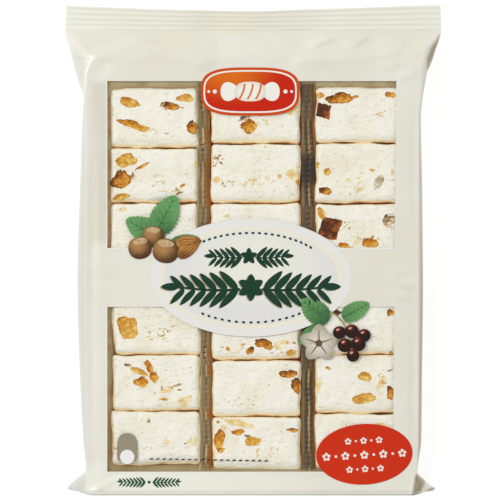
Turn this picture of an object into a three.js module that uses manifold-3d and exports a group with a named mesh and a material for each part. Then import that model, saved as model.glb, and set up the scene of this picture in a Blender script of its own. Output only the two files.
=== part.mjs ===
// A flat pillow pack of nougat bars, lying on its back with the windowed face up.
// It is shut and holds a tray, so it is one solid: the outer form of the film, swept
// along the pack from the crimped seal, over the tray, to the seal folded down at the foot.
// The bars that show through the two clear windows stand in shallow relief, and the back
// has its lengthwise seam in a shallow channel.
// Millimetres, +Z up, +Y towards the flat seal. The origin is on the surface that the pack
// lies on, under the middle of its box.

import * as THREE from "three";
import { mergeVertices } from "three/addons/utils/BufferGeometryUtils.js";
import Module from "manifold-3d";

// The whole pack
const HALF_LENGTH = 119.9;
const THICKNESS = 17.6;
const FILM = 0.8; // both plies of a seal, as thick as they are with their crimp

// The flat seal at the head end
const SEAL_DEPTH = 12.2;
const SEAL_HEIGHT = 8.6; // above the surface that the pack lies on
const SEAL_DIP = 2.9; // the free edge is pulled down this far in its middle
const CRIMP_PITCH = 2.7;
const CRIMP_SWING = 0.35;
const STEPS_PER_CRIMP = 4;
const FLAT_STEPS = 5; // from the middle of the flat face to each fold

// The film's slope from the seal to the tray, and the round over the tray's two ends
const FLARE_DEPTH = 13.4;
const HEAD_ROUND = 2.6;
const FOOT_ROUND = 5.2;
const ROUND_STEPS = 5;

// The seal at the foot, folded down against the end of the tray
const FOLD_HEIGHT = 11.5;
const FOLD_BACK = 1.2; // from the fold to the end of the pack
const STRIP_FOOT = 0.7; // the strip's free edge, above the surface
const EAR_BEND = 3.0; // how far the ears' tips bend back towards the head
const EAR_SHARPNESS = 14;

// The two long edges seen from above, as [y, x], from the head to the folded foot
const LEFT_EDGE = [
  [119.9, -91.6], [107.6, -92.1], [98.0, -89.7], [83.3, -85.8], [73.0, -82.9],
  [66.0, -83.4], [29.0, -84.8], [-15.0, -86.0], [-59.0, -84.8], [-93.0, -82.8],
  [-109.8, -81.4], [-118.6, -90.3], [-119.9, -89.9],
];
const RIGHT_EDGE = [
  [119.9, 91.9], [107.6, 92.1], [97.0, 88.7], [86.7, 84.6], [75.0, 82.9],
  [66.0, 82.1], [29.0, 82.9], [-19.0, 83.3], [-59.0, 82.6], [-93.0, 82.3],
  [-111.2, 80.9], [-118.6, 89.5], [-119.9, 89.1],
];

// Where the flat face ends and the film turns down to each edge: along the tray's rim,
// and along the gusset folds that run from its corners out to the seals, as [y, x]
const LEFT_FOLD = [
  [119.9, -91.0], [107.6, -91.4], [102.4, -85.8], [98.0, -81.6], [94.6, -78.6],
  [90.0, -80.0], [83.3, -81.7], [73.5, -82.0], [66.0, -81.2], [29.0, -80.6],
  [-93.0, -80.4], [-109.8, -80.2], [-118.6, -79.0], [-119.9, -79.0],
];
const RIGHT_FOLD = [
  [119.9, 91.3], [107.6, 91.5], [98.0, 84.8], [93.1, 83.4], [89.7, 82.8],
  [81.8, 82.2], [73.0, 81.4], [66.0, 80.6], [29.0, 80.2], [-93.0, 79.8],
  [-109.8, 79.6], [-118.6, 78.3], [-119.9, 78.3],
];

// How round the film's turn is, as [y, power]: 1 is a flat facet, 2 a quarter ellipse
const TURN_POWER = [
  [119.9, 2.0], [107.6, 1.6], [95.0, 1.3], [84.0, 1.7], [70.0, 2.4],
  [-105.0, 2.4], [-112.0, 1.4], [-119.9, 1.3],
];

// The windows and what they show
const WINDOW_LEFT = -71.0;
const WINDOW_RIGHT = 69.0;
const UPPER_WINDOW = [1.0, 82.3]; // lowest and highest y
const LOWER_WINDOW = [-108.0, -27.7];
const RELIEF = 1.0;
const COLUMN_MIDDLES = [-48.0, 1.0, 52.0];
const ROW_MIDDLES = [65.2, 37.4, 9.6, -37.2, -64.9, -92.4];
const BAR = { length: 43.4, width: 26.6, round: 2.2 };
const BAR_ROUND_STEPS = 3;

// The lengthwise seam on the back
const CHANNEL = { width: 34, depth: 0.9, head: 88, foot: -106, middle: -1 };
const SEAM = { width: 12, ply: 0.5, run: 3 }; // run: how far it goes into the channel's ends

const wasm = await Module();
wasm.setup();

// A closed three.js geometry as a solid that can be joined and cut.
function solid(geometry) {
  const bare = geometry.clone();
  bare.deleteAttribute("normal");
  bare.deleteAttribute("uv");
  const merged = mergeVertices(bare, 1e-4);
  return new wasm.Manifold(
    new wasm.Mesh({
      numProp: 3,
      vertProperties: merged.attributes.position.array,
      triVerts: new Uint32Array(merged.index.array),
    }),
  );
}

// The solid's surface as a three.js geometry with flat faces.
function geometryOf(made) {
  const mesh = made.getMesh();
  const geometry = new THREE.BufferGeometry()
    .setAttribute("position", new THREE.BufferAttribute(new Float32Array(mesh.vertProperties), 3))
    .setIndex(new THREE.BufferAttribute(new Uint32Array(mesh.triVerts), 1))
    .toNonIndexed();
  geometry.computeVertexNormals();
  return geometry;
}

// A smooth curve through [y, value] points in falling y, without overshoot, read at y.
function valueAt(points, y) {
  const last = points.length - 1;
  let i = points.findIndex((p) => p[0] <= y);
  if (i < 0) return points[last][1];
  if (i === 0) return points[0][1];
  i -= 1;
  const slope = (a) => (points[a + 1][1] - points[a][1]) / (points[a + 1][0] - points[a][0]);
  const tangent = (a) => {
    if (a === 0 || a === last) return slope(Math.min(a, last - 1));
    const before = slope(a - 1);
    const after = slope(a);
    return before * after <= 0 ? 0 : (2 * before * after) / (before + after);
  };
  const span = points[i + 1][0] - points[i][0];
  const t = (y - points[i][0]) / span;
  return (
    (2 * t ** 3 - 3 * t ** 2 + 1) * points[i][1] +
    (t ** 3 - 2 * t ** 2 + t) * span * tangent(i) +
    (3 * t ** 2 - 2 * t ** 3) * points[i + 1][1] +
    (t ** 3 - t ** 2) * span * tangent(i + 1)
  );
}

// The section's places across the pack: -1 to 1 is the flat face between its two folds,
// and the last 1 on each side is the turn from the fold down to the pack's edge.
function placesAcross() {
  const turn = [0.3, 0.55, 0.75, 0.88, 0.96, 1];
  const flat = Array.from({ length: 2 * FLAT_STEPS + 1 }, (_, i) => i / FLAT_STEPS - 1);
  return [...turn.map((part) => -1 - part).reverse(), ...flat, ...turn.map((part) => 1 + part)];
}

// A station is one closed section of the sweep: where its middle is, its half thickness,
// how far its face leans over from up (0) to out at the foot (a quarter turn), and how much
// of the head's dip and of the ears' bend it has.
function station(y, z, half, { lean = 0, dip = 0, bend = 0 } = {}) {
  return { y, z, half, lean, dip, bend };
}

// The corrugated head seal, from its free edge to the flare.
function sealStations() {
  const steps = Math.round((SEAL_DEPTH / CRIMP_PITCH) * STEPS_PER_CRIMP);
  return Array.from({ length: steps + 1 }, (_, i) => {
    const down = (i / steps) * SEAL_DEPTH;
    const swing = Math.sin((2 * Math.PI * down) / CRIMP_PITCH) * CRIMP_SWING;
    return station(HALF_LENGTH - down, SEAL_HEIGHT + swing, FILM / 2, {
      dip: 1 - down / SEAL_DEPTH,
    });
  });
}

// A body station from the heights of its back and front film.
function bodyStation(y, back, front, options) {
  return station(y, (back + front) / 2, (front - back) / 2, options);
}

// From the seal up over the tray's head end: a slope that meets the tray in a quarter round.
function headStations() {
  const start = HALF_LENGTH - SEAL_DEPTH;
  const end = start - FLARE_DEPTH;
  const slopes = [0.12, 0.3, 0.5, 0.7, 0.85].map((part) => {
    const rise = part ** 1.15;
    const front = THREE.MathUtils.lerp(SEAL_HEIGHT + FILM / 2, THICKNESS - HEAD_ROUND / 2, rise);
    const back = THREE.MathUtils.lerp(SEAL_HEIGHT - FILM / 2, HEAD_ROUND / 2, rise);
    return bodyStation(start - part * (FLARE_DEPTH - HEAD_ROUND), back, front);
  });
  const rounds = Array.from({ length: ROUND_STEPS + 1 }, (_, i) => {
    const turn = i / ROUND_STEPS;
    const sunk = (HEAD_ROUND / 2) * (1 - Math.sin((turn * Math.PI) / 2));
    return bodyStation(end + HEAD_ROUND * (1 - turn), sunk, THICKNESS - sunk);
  });
  return [...slopes, ...rounds];
}

// Along the tray, where only the width changes.
function trayStations() {
  return [86, 80, 73, 66, 52, 29, 7, -15, -37, -59, -76, -93, -102, -109].map((y) =>
    bodyStation(y, 0, THICKNESS),
  );
}

// Round the tray's foot end to the fold of the seal, while the ears draw out to their tips.
function footStations() {
  const start = -HALF_LENGTH + FOLD_BACK + FOOT_ROUND;
  return Array.from({ length: ROUND_STEPS + 2 }, (_, i) => {
    const turn = (i / (ROUND_STEPS + 1)) * (Math.PI / 2);
    const fall = 1 - Math.cos(turn);
    const front = THREE.MathUtils.lerp(THICKNESS, FOLD_HEIGHT + FILM / 2, fall);
    const back = THREE.MathUtils.lerp(0, FOLD_HEIGHT - FILM / 2, fall ** 1.3);
    return bodyStation(start - FOOT_ROUND * Math.sin(turn), back, front, { bend: fall });
  });
}

// The seal strip, turned down at its fold and hanging to just above the surface.
function stripStations() {
  const fold = -HALF_LENGTH + FOLD_BACK;
  const turned = [0.35, 0.75, 1].map((part) => {
    const lean = (part * Math.PI) / 2;
    const y = fold - 0.5 * Math.sin(lean);
    return station(y, FOLD_HEIGHT - 0.5 * (1 - Math.cos(lean)), FILM / 2, { lean, bend: 1 });
  });
  const top = FOLD_HEIGHT - 0.5;
  const steps = Math.round(((top - STRIP_FOOT) / CRIMP_PITCH) * STEPS_PER_CRIMP);
  const hanging = Array.from({ length: steps }, (_, i) => {
    const part = (i + 1) / steps;
    const swing = Math.sin(part * 2 * Math.PI * (steps / STEPS_PER_CRIMP)) * (CRIMP_SWING / 2);
    const y = fold - 0.5 - swing * (1 - part);
    return station(y, THREE.MathUtils.lerp(top, STRIP_FOOT, part), FILM / 2, {
      lean: Math.PI / 2,
      bend: 1,
    });
  });
  return [...turned, ...hanging];
}

// One closed section: its front from left to right, then its back from right to left.
function sectionPoints(at, places) {
  const edges = [valueAt(LEFT_EDGE, at.y), valueAt(RIGHT_EDGE, at.y)];
  const folds = [valueAt(LEFT_FOLD, at.y), valueAt(RIGHT_FOLD, at.y)];
  const power = valueAt(TURN_POWER, at.y);
  const middle = (edges[0] + edges[1]) / 2;
  const reach = (edges[1] - edges[0]) / 2;
  const point = (place, side) => {
    const end = place < 0 ? 0 : 1;
    const turn = Math.max(0, Math.abs(place) - 1);
    const x =
      turn > 0
        ? THREE.MathUtils.lerp(folds[end], edges[end], turn)
        : THREE.MathUtils.lerp(folds[0], folds[1], (place + 1) / 2);
    const across = (x - middle) / reach;
    const height = at.half * side * (1 - turn ** power) ** (1 / power);
    const dipped = at.dip * SEAL_DIP * (1 - across ** 2);
    const bent = at.bend * EAR_BEND * Math.abs(across) ** EAR_SHARPNESS;
    return [
      x,
      at.y - dipped + bent - Math.sin(at.lean) * height,
      at.z + Math.cos(at.lean) * height,
    ];
  };
  const front = places.map((place) => point(place, 1));
  const back = places.slice(1, -1).reverse().map((place) => point(place, -1));
  return [...front, ...back];
}

// The sweep of all sections, closed at both ends.
function sweep(stations) {
  const places = placesAcross();
  const wide = places.length;
  const around = 2 * wide - 2;
  const points = stations.flatMap((at) => sectionPoints(at, places));
  const faces = [];
  for (let j = 0; j + 1 < stations.length; j += 1) {
    for (let i = 0; i < around; i += 1) {
      const next = (i + 1) % around;
      const [a, b] = [j * around + i, j * around + next];
      const [c, d] = [a + around, b + around];
      faces.push([a, c, d], [a, d, b]);
    }
  }
  const backOf = (i) => (i === 0 || i === wide - 1 ? i : around - i);
  const lastRing = (stations.length - 1) * around;
  for (let i = 0; i + 1 < wide; i += 1) {
    const [a, b, c, d] = [i, i + 1, backOf(i + 1), backOf(i)];
    faces.push([a, b, c], [a, c, d]);
    faces.push([lastRing + a, lastRing + c, lastRing + b], [lastRing + a, lastRing + d, lastRing + c]);
  }
  const distinct = faces.filter(([a, b, c]) => a !== b && b !== c && c !== a);
  return new THREE.BufferGeometry()
    .setAttribute("position", new THREE.Float32BufferAttribute(points.flat(), 3))
    .setIndex(distinct.flat());
}

// A rectangle with round corners, raised from one height to another.
function roundedBlock(length, width, round, low, high) {
  const [x, y] = [length / 2, width / 2];
  const shape = new THREE.Shape()
    .moveTo(-x + round, -y)
    .lineTo(x - round, -y)
    .absarc(x - round, -y + round, round, -Math.PI / 2, 0)
    .lineTo(x, y - round)
    .absarc(x - round, y - round, round, 0, Math.PI / 2)
    .lineTo(-x + round, y)
    .absarc(-x + round, y - round, round, Math.PI / 2, Math.PI)
    .lineTo(-x, -y + round)
    .absarc(-x + round, -y + round, round, Math.PI, 1.5 * Math.PI);
  const block = new THREE.ExtrudeGeometry(shape, {
    depth: high - low,
    bevelEnabled: false,
    curveSegments: BAR_ROUND_STEPS,
  });
  return block.translate(0, 0, low);
}

// A plain block from its lowest to its highest corner.
function block(lowest, highest) {
  const size = highest.map((value, axis) => value - lowest[axis]);
  const middle = highest.map((value, axis) => (value + lowest[axis]) / 2);
  return new THREE.BoxGeometry(...size).translate(...middle);
}

// What is taken off the front: the windows, apart from the bars that show in them.
function windowCutter() {
  const bottom = THICKNESS - RELIEF;
  const above = THICKNESS + 1;
  const panes = [UPPER_WINDOW, LOWER_WINDOW].map(([low, high]) =>
    solid(block([WINDOW_LEFT, low, bottom], [WINDOW_RIGHT, high, above])),
  );
  const bars = ROW_MIDDLES.flatMap((y) =>
    COLUMN_MIDDLES.map((x) =>
      solid(roundedBlock(BAR.length, BAR.width, BAR.round, bottom - 1, above + 1).translate(x, y, 0)),
    ),
  );
  return panes[0].add(panes[1]).subtract(wasm.Manifold.union(bars));
}

// The channel in the back, and the flat seam that lies in it clear of the surface below.
function backChannel() {
  const { width, depth, head, foot, middle } = CHANNEL;
  return solid(block([middle - width / 2, foot, -1], [middle + width / 2, head, depth]));
}

function backSeam() {
  const { width, ply, run } = SEAM;
  const { depth, head, foot, middle } = CHANNEL;
  const lowest = [middle - width / 2, foot - run, depth - ply];
  return solid(block(lowest, [middle + width / 2, head + run, depth + 1]));
}

// The pack's finish
const printedFilm = new THREE.MeshStandardMaterial({
  color: 0xe0dfd0,
  roughness: 0.35,
  metalness: 0,
});

const film = solid(
  sweep([
    ...sealStations(),
    ...headStations(),
    ...trayStations(),
    ...footStations(),
    ...stripStations(),
  ]),
);
const shaped = film.subtract(windowCutter()).subtract(backChannel()).add(backSeam());

const group = new THREE.Group();
const pack = new THREE.Mesh(geometryOf(shaped), printedFilm);
pack.name = "nougat_pack";
group.add(pack);

export default group;
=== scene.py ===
"""A sealed pillow pack of soft nougat bars, lying on its back with its windows up.

The printed film, its clear windows, the print on it, the ribbed tray, the bars and the nuts
and fruit in them are separate pieces. Sizes are millimetres in the pack's own frame: +Z up,
+Y towards the flat seal. Meshes are written in metres.
"""

from __future__ import annotations

import logging
import math
import random
from dataclasses import dataclass
from enum import Enum
from typing import Iterable, Sequence

import bmesh
import bpy
from mathutils import Matrix, Vector, noise


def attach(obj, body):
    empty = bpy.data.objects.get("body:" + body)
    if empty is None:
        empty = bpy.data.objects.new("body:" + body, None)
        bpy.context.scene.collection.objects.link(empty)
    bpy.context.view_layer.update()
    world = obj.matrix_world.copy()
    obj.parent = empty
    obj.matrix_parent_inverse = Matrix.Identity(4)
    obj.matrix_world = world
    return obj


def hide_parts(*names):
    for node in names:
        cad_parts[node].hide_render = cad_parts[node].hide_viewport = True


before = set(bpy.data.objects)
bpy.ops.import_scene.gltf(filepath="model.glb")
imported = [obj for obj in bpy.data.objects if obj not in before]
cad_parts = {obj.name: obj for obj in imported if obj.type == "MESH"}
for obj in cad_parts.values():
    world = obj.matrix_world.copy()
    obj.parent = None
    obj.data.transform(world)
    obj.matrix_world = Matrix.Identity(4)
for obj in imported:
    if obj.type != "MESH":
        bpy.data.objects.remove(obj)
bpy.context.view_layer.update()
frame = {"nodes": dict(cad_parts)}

log = logging.getLogger("nougat_pack")

MM = 0.001
NODE = "nougat_pack"
BODY = "root"
Curve = tuple[tuple[float, float], ...]


def linear(red: float, green: float, blue: float) -> tuple[float, float, float, float]:
    """A colour as seen on a screen, 0 to 255, as the linear values that shaders take.

    Args:
        red, green, blue: screen values.

    Returns:
        Linear red, green and blue, and an alpha of 1.
    """

    def one(value: float) -> float:
        """One channel."""
        part = value / 255
        return part / 12.92 if part <= 0.04045 else ((part + 0.055) / 1.055) ** 2.4

    return (one(red), one(green), one(blue), 1.0)


def smoothstep(low: float, high: float, value: float) -> float:
    """A soft step from 0 at low to 1 at high."""
    part = min(1.0, max(0.0, (value - low) / (high - low)))
    return part * part * (3 - 2 * part)


def mix(start: float, end: float, part: float) -> float:
    """The value a part of the way from start to end."""
    return start + (end - start) * part


class Value:
    """A shader value. Arithmetic on it adds Math nodes to its tree."""

    def __init__(self, tree: ShaderTree, socket: bpy.types.NodeSocket) -> None:
        """Wrap an output socket of a tree."""
        self.tree = tree
        self.socket = socket

    def math(self, operation: str, *others: Value | float) -> Value:
        """A Math node on this value and others.

        Args:
            operation: the node's operation.
            others: its further inputs.

        Returns:
            The node's result.
        """
        inputs = dict(enumerate((self, *others)))
        return self.tree.node("ShaderNodeMath", {"operation": operation}, inputs)

    def __add__(self, other: Value | float) -> Value:
        """self + other."""
        return self.math("ADD", other)

    def __sub__(self, other: Value | float) -> Value:
        """self - other."""
        return self.math("SUBTRACT", other)

    def __rsub__(self, other: float) -> Value:
        """other - self."""
        return self.tree.number(other).math("SUBTRACT", self)

    def __mul__(self, other: Value | float) -> Value:
        """self * other."""
        return self.math("MULTIPLY", other)

    def __truediv__(self, other: Value | float) -> Value:
        """self / other."""
        return self.math("DIVIDE", other)

    __radd__ = __add__
    __rmul__ = __mul__

    def step(self, low: float, high: float) -> Value:
        """A soft step of this value from 0 at low to 1 at high."""
        settings = {"interpolation_type": "SMOOTHSTEP"}
        return self.tree.node("ShaderNodeMapRange", settings, {0: self, 1: low, 2: high})


class ShaderTree:
    """A material's node tree, with one method that makes every node."""

    def __init__(self, name: str) -> None:
        """Make an empty node material."""
        self.material = bpy.data.materials.new(name)
        self.material.use_nodes = True
        self.tree = self.material.node_tree
        self.tree.nodes.clear()

    def node(
        self,
        kind: str,
        settings: dict[str, object] | None = None,
        inputs: dict[int | str, object] | None = None,
        output: int | str = 0,
    ) -> Value:
        """Add a node.

        Args:
            kind: the node's type.
            settings: its properties, set first. A ramp's stops are (place, colour) pairs.
            inputs: input values or links, by name or number.
            output: which output to return.

        Returns:
            The output as a Value.
        """
        made = self.tree.nodes.new(kind)
        for key, value in (settings or {}).items():
            if key == "stops":
                self._set_stops(made.color_ramp, value)
            else:
                setattr(made, key, value)
        for key, value in (inputs or {}).items():
            if isinstance(value, Value):
                self.tree.links.new(value.socket, made.inputs[key])
            else:
                made.inputs[key].default_value = value
        return Value(self, made.outputs[output]) if len(made.outputs) else Value(self, None)

    @staticmethod
    def _set_stops(ramp: bpy.types.ColorRamp, stops: Sequence[tuple[float, tuple]]) -> None:
        """Give a colour ramp its stops."""
        while len(ramp.elements) < len(stops):
            ramp.elements.new(0.5)
        for element, (place, colour) in zip(ramp.elements, stops):
            element.position = place
            element.color = colour

    def number(self, value: float) -> Value:
        """A plain number as a shader value."""
        return self.node("ShaderNodeMath", {"operation": "ADD"}, {0: value, 1: 0.0})

    def place(self, turn: float = 0.0, stretch: Sequence[float] = (1, 1, 1)) -> Value:
        """The point on the piece, in metres, turned about Z and stretched."""
        spot = self.node("ShaderNodeTexCoord", output="Object")
        inputs = {"Vector": spot, "Rotation": (0, 0, turn), "Scale": tuple(stretch)}
        return self.node("ShaderNodeMapping", inputs=inputs)

    def axis(self, index: int) -> Value:
        """One coordinate of the point on the piece, in mm."""
        spot = self.node("ShaderNodeTexCoord", output="Object")
        return self.node("ShaderNodeSeparateXYZ", inputs={0: spot}, output=index) * (1 / MM)

    def attribute(self, name: str) -> Value:
        """A number that the piece's mesh holds at its points."""
        return self.node("ShaderNodeAttribute", {"attribute_name": name}, output="Fac")

    def noise(self, size: float, detail: float = 3.0, where: Value | None = None) -> Value:
        """Smooth noise around 0.5.

        Args:
            size: the size of its features in mm.
            detail: how many finer layers it has.
            where: the coordinates, or None for the point on the piece.

        Returns:
            The noise value.
        """
        spot = where or self.node("ShaderNodeTexCoord", output="Object")
        inputs = {"Vector": spot, "Scale": 1 / (size * MM), "Detail": detail}
        return self.node("ShaderNodeTexNoise", inputs=inputs)

    def blend(self, part: Value | float, start: object, end: object) -> Value:
        """A colour a part of the way from start to end."""
        settings = {"data_type": "RGBA"}
        return self.node("ShaderNodeMix", settings, {0: part, 6: start, 7: end}, output=2)

    def bump(self, height: Value, strength: float, depth: float) -> Value:
        """A normal from a height.

        Args:
            height: the height, about 0 to 1.
            strength: how much of it shows.
            depth: its depth in mm.

        Returns:
            The normal.
        """
        inputs = {"Height": height, "Strength": strength, "Distance": depth * MM}
        return self.node("ShaderNodeBump", inputs=inputs)

    def finish(self, shader: Value) -> bpy.types.Material:
        """Put a shader on the material's output."""
        self.node("ShaderNodeOutputMaterial", inputs={"Surface": shader})
        return self.material

    def surface(self, inputs: dict[int | str, object]) -> bpy.types.Material:
        """Finish the material with a Principled shader that has these inputs."""
        return self.finish(self.node("ShaderNodeBsdfPrincipled", inputs=inputs))


@dataclass(frozen=True)
class FilmFinish:
    """Cream printed film, satin. The mesh's attribute "shade" paints shade on it: above 0 a khaki
    painted shade where the film turns under or is edge-on, below 0 a cold grey painted shade where
    it is less lit. Ranges are in mm."""

    name: str = "printed_film"
    pale: tuple = linear(232, 231, 219)
    warm: tuple = linear(229, 226, 210)
    lap: tuple = linear(236, 229, 208)
    painted_shade: tuple = linear(146, 130, 95)
    painted_cold_grey: tuple = linear(186, 187, 182)
    bright: tuple = linear(242, 243, 229)
    roughness: float = 0.16
    dullness: float = 0.35
    seal: tuple[float, float] = (106.5, 108.5)
    seal_left: tuple[float, float] = (-45.0, -20.0)
    seal_right: tuple[float, float] = (22.0, 40.0)
    lap_left: tuple[float, float] = (-30.0, -8.0)
    lap_right: tuple[float, float] = (1.3, 1.8)
    lap_foot: tuple[float, float] = (105.0, 108.0)
    foot: tuple[float, float] = (-100.0, -112.0)
    foot_fade: tuple[float, float] = (0.0, 42.0)
    dull_side: tuple[float, float] = (-64.0, -88.0)
    dull_foot: tuple[float, float] = (-110.0, -106.0)
    glossy: tuple[tuple[float, float], tuple[float, float]] = ((70.0, 74.0), (97.5, 94.5))

    def build(self) -> bpy.types.Material:
        """Make the material."""
        tree = ShaderTree(self.name)
        across, along = tree.axis(0), tree.axis(1)
        colour = tree.blend(tree.noise(38, 2).step(0.3, 0.7), self.pale, self.warm)
        sides = across.step(*self.seal_right) - across.step(*self.seal_left) + 1.0
        colour = tree.blend(sides * along.step(*self.seal) * 0.5, colour, self.bright)
        lap = (across.step(*self.lap_left) - across.step(*self.lap_right)) * along.step(*self.lap_foot)
        colour = tree.blend(lap * 0.6, colour, self.lap)
        # painted light: the film towards the foot is lightened, most on its left
        painted_foot_light = along.step(*self.foot) * (0.66 - across.step(*self.foot_fade) * 0.62)
        colour = tree.blend(painted_foot_light, colour, self.bright)
        # painted shade from the mesh's "shade" attribute: khaki above 0, cold grey below 0
        shade = tree.attribute("shade")
        colour = tree.blend(shade, colour, self.painted_shade)
        colour = tree.blend(shade * -1.0, colour, self.painted_cold_grey)
        glossy = along.step(*self.glossy[0]) * along.step(*self.glossy[1])
        dull = across.step(*self.dull_side) * along.step(*self.dull_foot) * (1.0 - glossy)
        inputs = {
            "Base Color": colour,
            "Roughness": tree.noise(9, 2) * 0.08 + dull * self.dullness + self.roughness,
            "Normal": tree.bump(tree.noise(1.4, 4), 0.2, 0.05),
        }
        return tree.surface(inputs)


@dataclass(frozen=True)
class ClearFinish:
    """Clear film: nearly all of the light goes through, a little is mirrored."""

    name: str = "clear_film"
    shine: float = 0.014
    roughness: float = 0.12

    def build(self) -> bpy.types.Material:
        """Make the material."""
        tree = ShaderTree(self.name)
        clear = tree.node("ShaderNodeBsdfTransparent")
        normal = tree.bump(tree.noise(14, 2), 0.3, 0.3)
        inputs = {"Color": (1, 1, 1, 1), "Roughness": self.roughness, "Normal": normal}
        gloss = tree.node("ShaderNodeBsdfAnisotropic", inputs=inputs)
        return tree.finish(tree.node("ShaderNodeMixShader", inputs={0: self.shine, 1: clear, 2: gloss}))


@dataclass(frozen=True)
class TrayFinish:
    """Clear thermoformed plastic, painted opaque: khaki that stands for the shaded film seen through it,
    with a painted warm reflection of the bars low down.
    """

    name: str = "tray_wall"
    shade: tuple = linear(179, 165, 125)
    light: tuple = linear(196, 182, 144)
    warm: tuple = linear(196, 140, 70)
    dusk: tuple = linear(142, 122, 84)
    spot: tuple = linear(146, 100, 46)
    left_warm_brown: tuple = linear(186, 132, 66)
    low: float = 9.0
    high: float = 13.5
    dusk_from: tuple[float, float] = (-60.0, -96.0)
    left_warm_brown_from: tuple[float, float] = (-65.0, -70.0)

    def build(self) -> bpy.types.Material:
        """Make the material."""
        tree = ShaderTree(self.name)
        patches = tree.noise(17, 2).step(0.35, 0.65)
        grain = tree.noise(1.6, 2)
        base = tree.blend(patches, self.shade, self.light)
        # painted warm reflection of the bars: the lower on the wall, the warmer
        depth = (tree.axis(2) + (grain - 0.5) * 1.6).step(self.low, self.high)
        colour = tree.blend(depth, self.warm, base)
        near = tree.axis(1).step(*self.dusk_from)
        colour = tree.blend((near + (grain - 0.5) * 0.4) * 0.6, colour, self.dusk)
        # warm brown patches along the left wall
        left = tree.axis(0).step(*self.left_warm_brown_from) * tree.noise(8, 2).step(0.35, 0.6)
        colour = tree.blend(left * 0.6, colour, self.left_warm_brown)
        spots = tree.noise(5, 2, tree.place(stretch=(0.5, 1, 1))).step(0.52, 0.68)
        colour = tree.blend(spots * 0.3, colour, self.spot)
        inputs = {
            "Base Color": colour,
            "Roughness": 0.3,
            "Specular IOR Level": 0.25,
            "Normal": tree.bump(tree.noise(3.4, 2), 0.3, 0.4),
        }
        return tree.surface(inputs)


@dataclass(frozen=True)
class RidgeFinish:
    """A ridge of the tray, seen through its folds: bands of grey, brown and dark orange, with a
    painted highlight near its crown and painted warm light from the nougat in the dark orange at its
    sides. The mesh's attribute "shade" darkens it: painted shade in the ladder's grooves, and darker
    patches.
    """

    name: str
    bands: tuple[tuple[float, tuple], ...]
    plain: tuple[tuple[float, tuple], ...]
    dark: tuple = linear(58, 46, 34)
    over_wall: tuple = linear(170, 152, 112)
    wall_top: tuple[float, float] = (15.3, 16.2)

    @staticmethod
    def ramp(*stops: tuple[float, int, int, int]) -> tuple[tuple[float, tuple], ...]:
        """A ramp from the places and the screen colours of its stops."""
        return tuple((place, linear(*colour)) for place, *colour in stops)

    def build(self) -> bpy.types.Material:
        """Make the material."""
        tree = ShaderTree(self.name)
        wander = (tree.noise(9, 2, tree.place(stretch=(0.4, 1, 1))) - 0.5) * 0.22
        streaks = (tree.noise(0.9, 2, tree.place(stretch=(1, 0.05, 1))) - 0.5) * 0.3
        where = tree.attribute("across") + wander * 0.6 + streaks * 0.7
        bands = tree.node("ShaderNodeValToRGB", {"stops": self.bands}, {0: where})
        plain = tree.node("ShaderNodeValToRGB", {"stops": self.plain}, {0: where})
        spell = tree.noise(13, 1, tree.place(stretch=(0.2, 1, 0.2))).step(0.47, 0.55)
        bands = tree.blend(spell, bands, plain)
        bands = tree.blend(tree.axis(2).step(*self.wall_top) * 0.6, bands, self.over_wall)
        blotches = tree.noise(5, 3, tree.place(stretch=(1, 0.5, 1))) - 0.5
        # painted shade in the ladder's grooves, and darker patches, from the mesh's "shade" attribute
        tone = tree.attribute("shade") + blotches * 0.7
        colour = tree.blend(tone.step(0.1, 0.95), bands, self.dark)
        inputs = {
            "Base Color": colour,
            "Roughness": 0.26,
            "Specular IOR Level": 0.22,
            "Normal": tree.bump(streaks, 0.4, 0.5),
        }
        return tree.surface(inputs)


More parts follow.
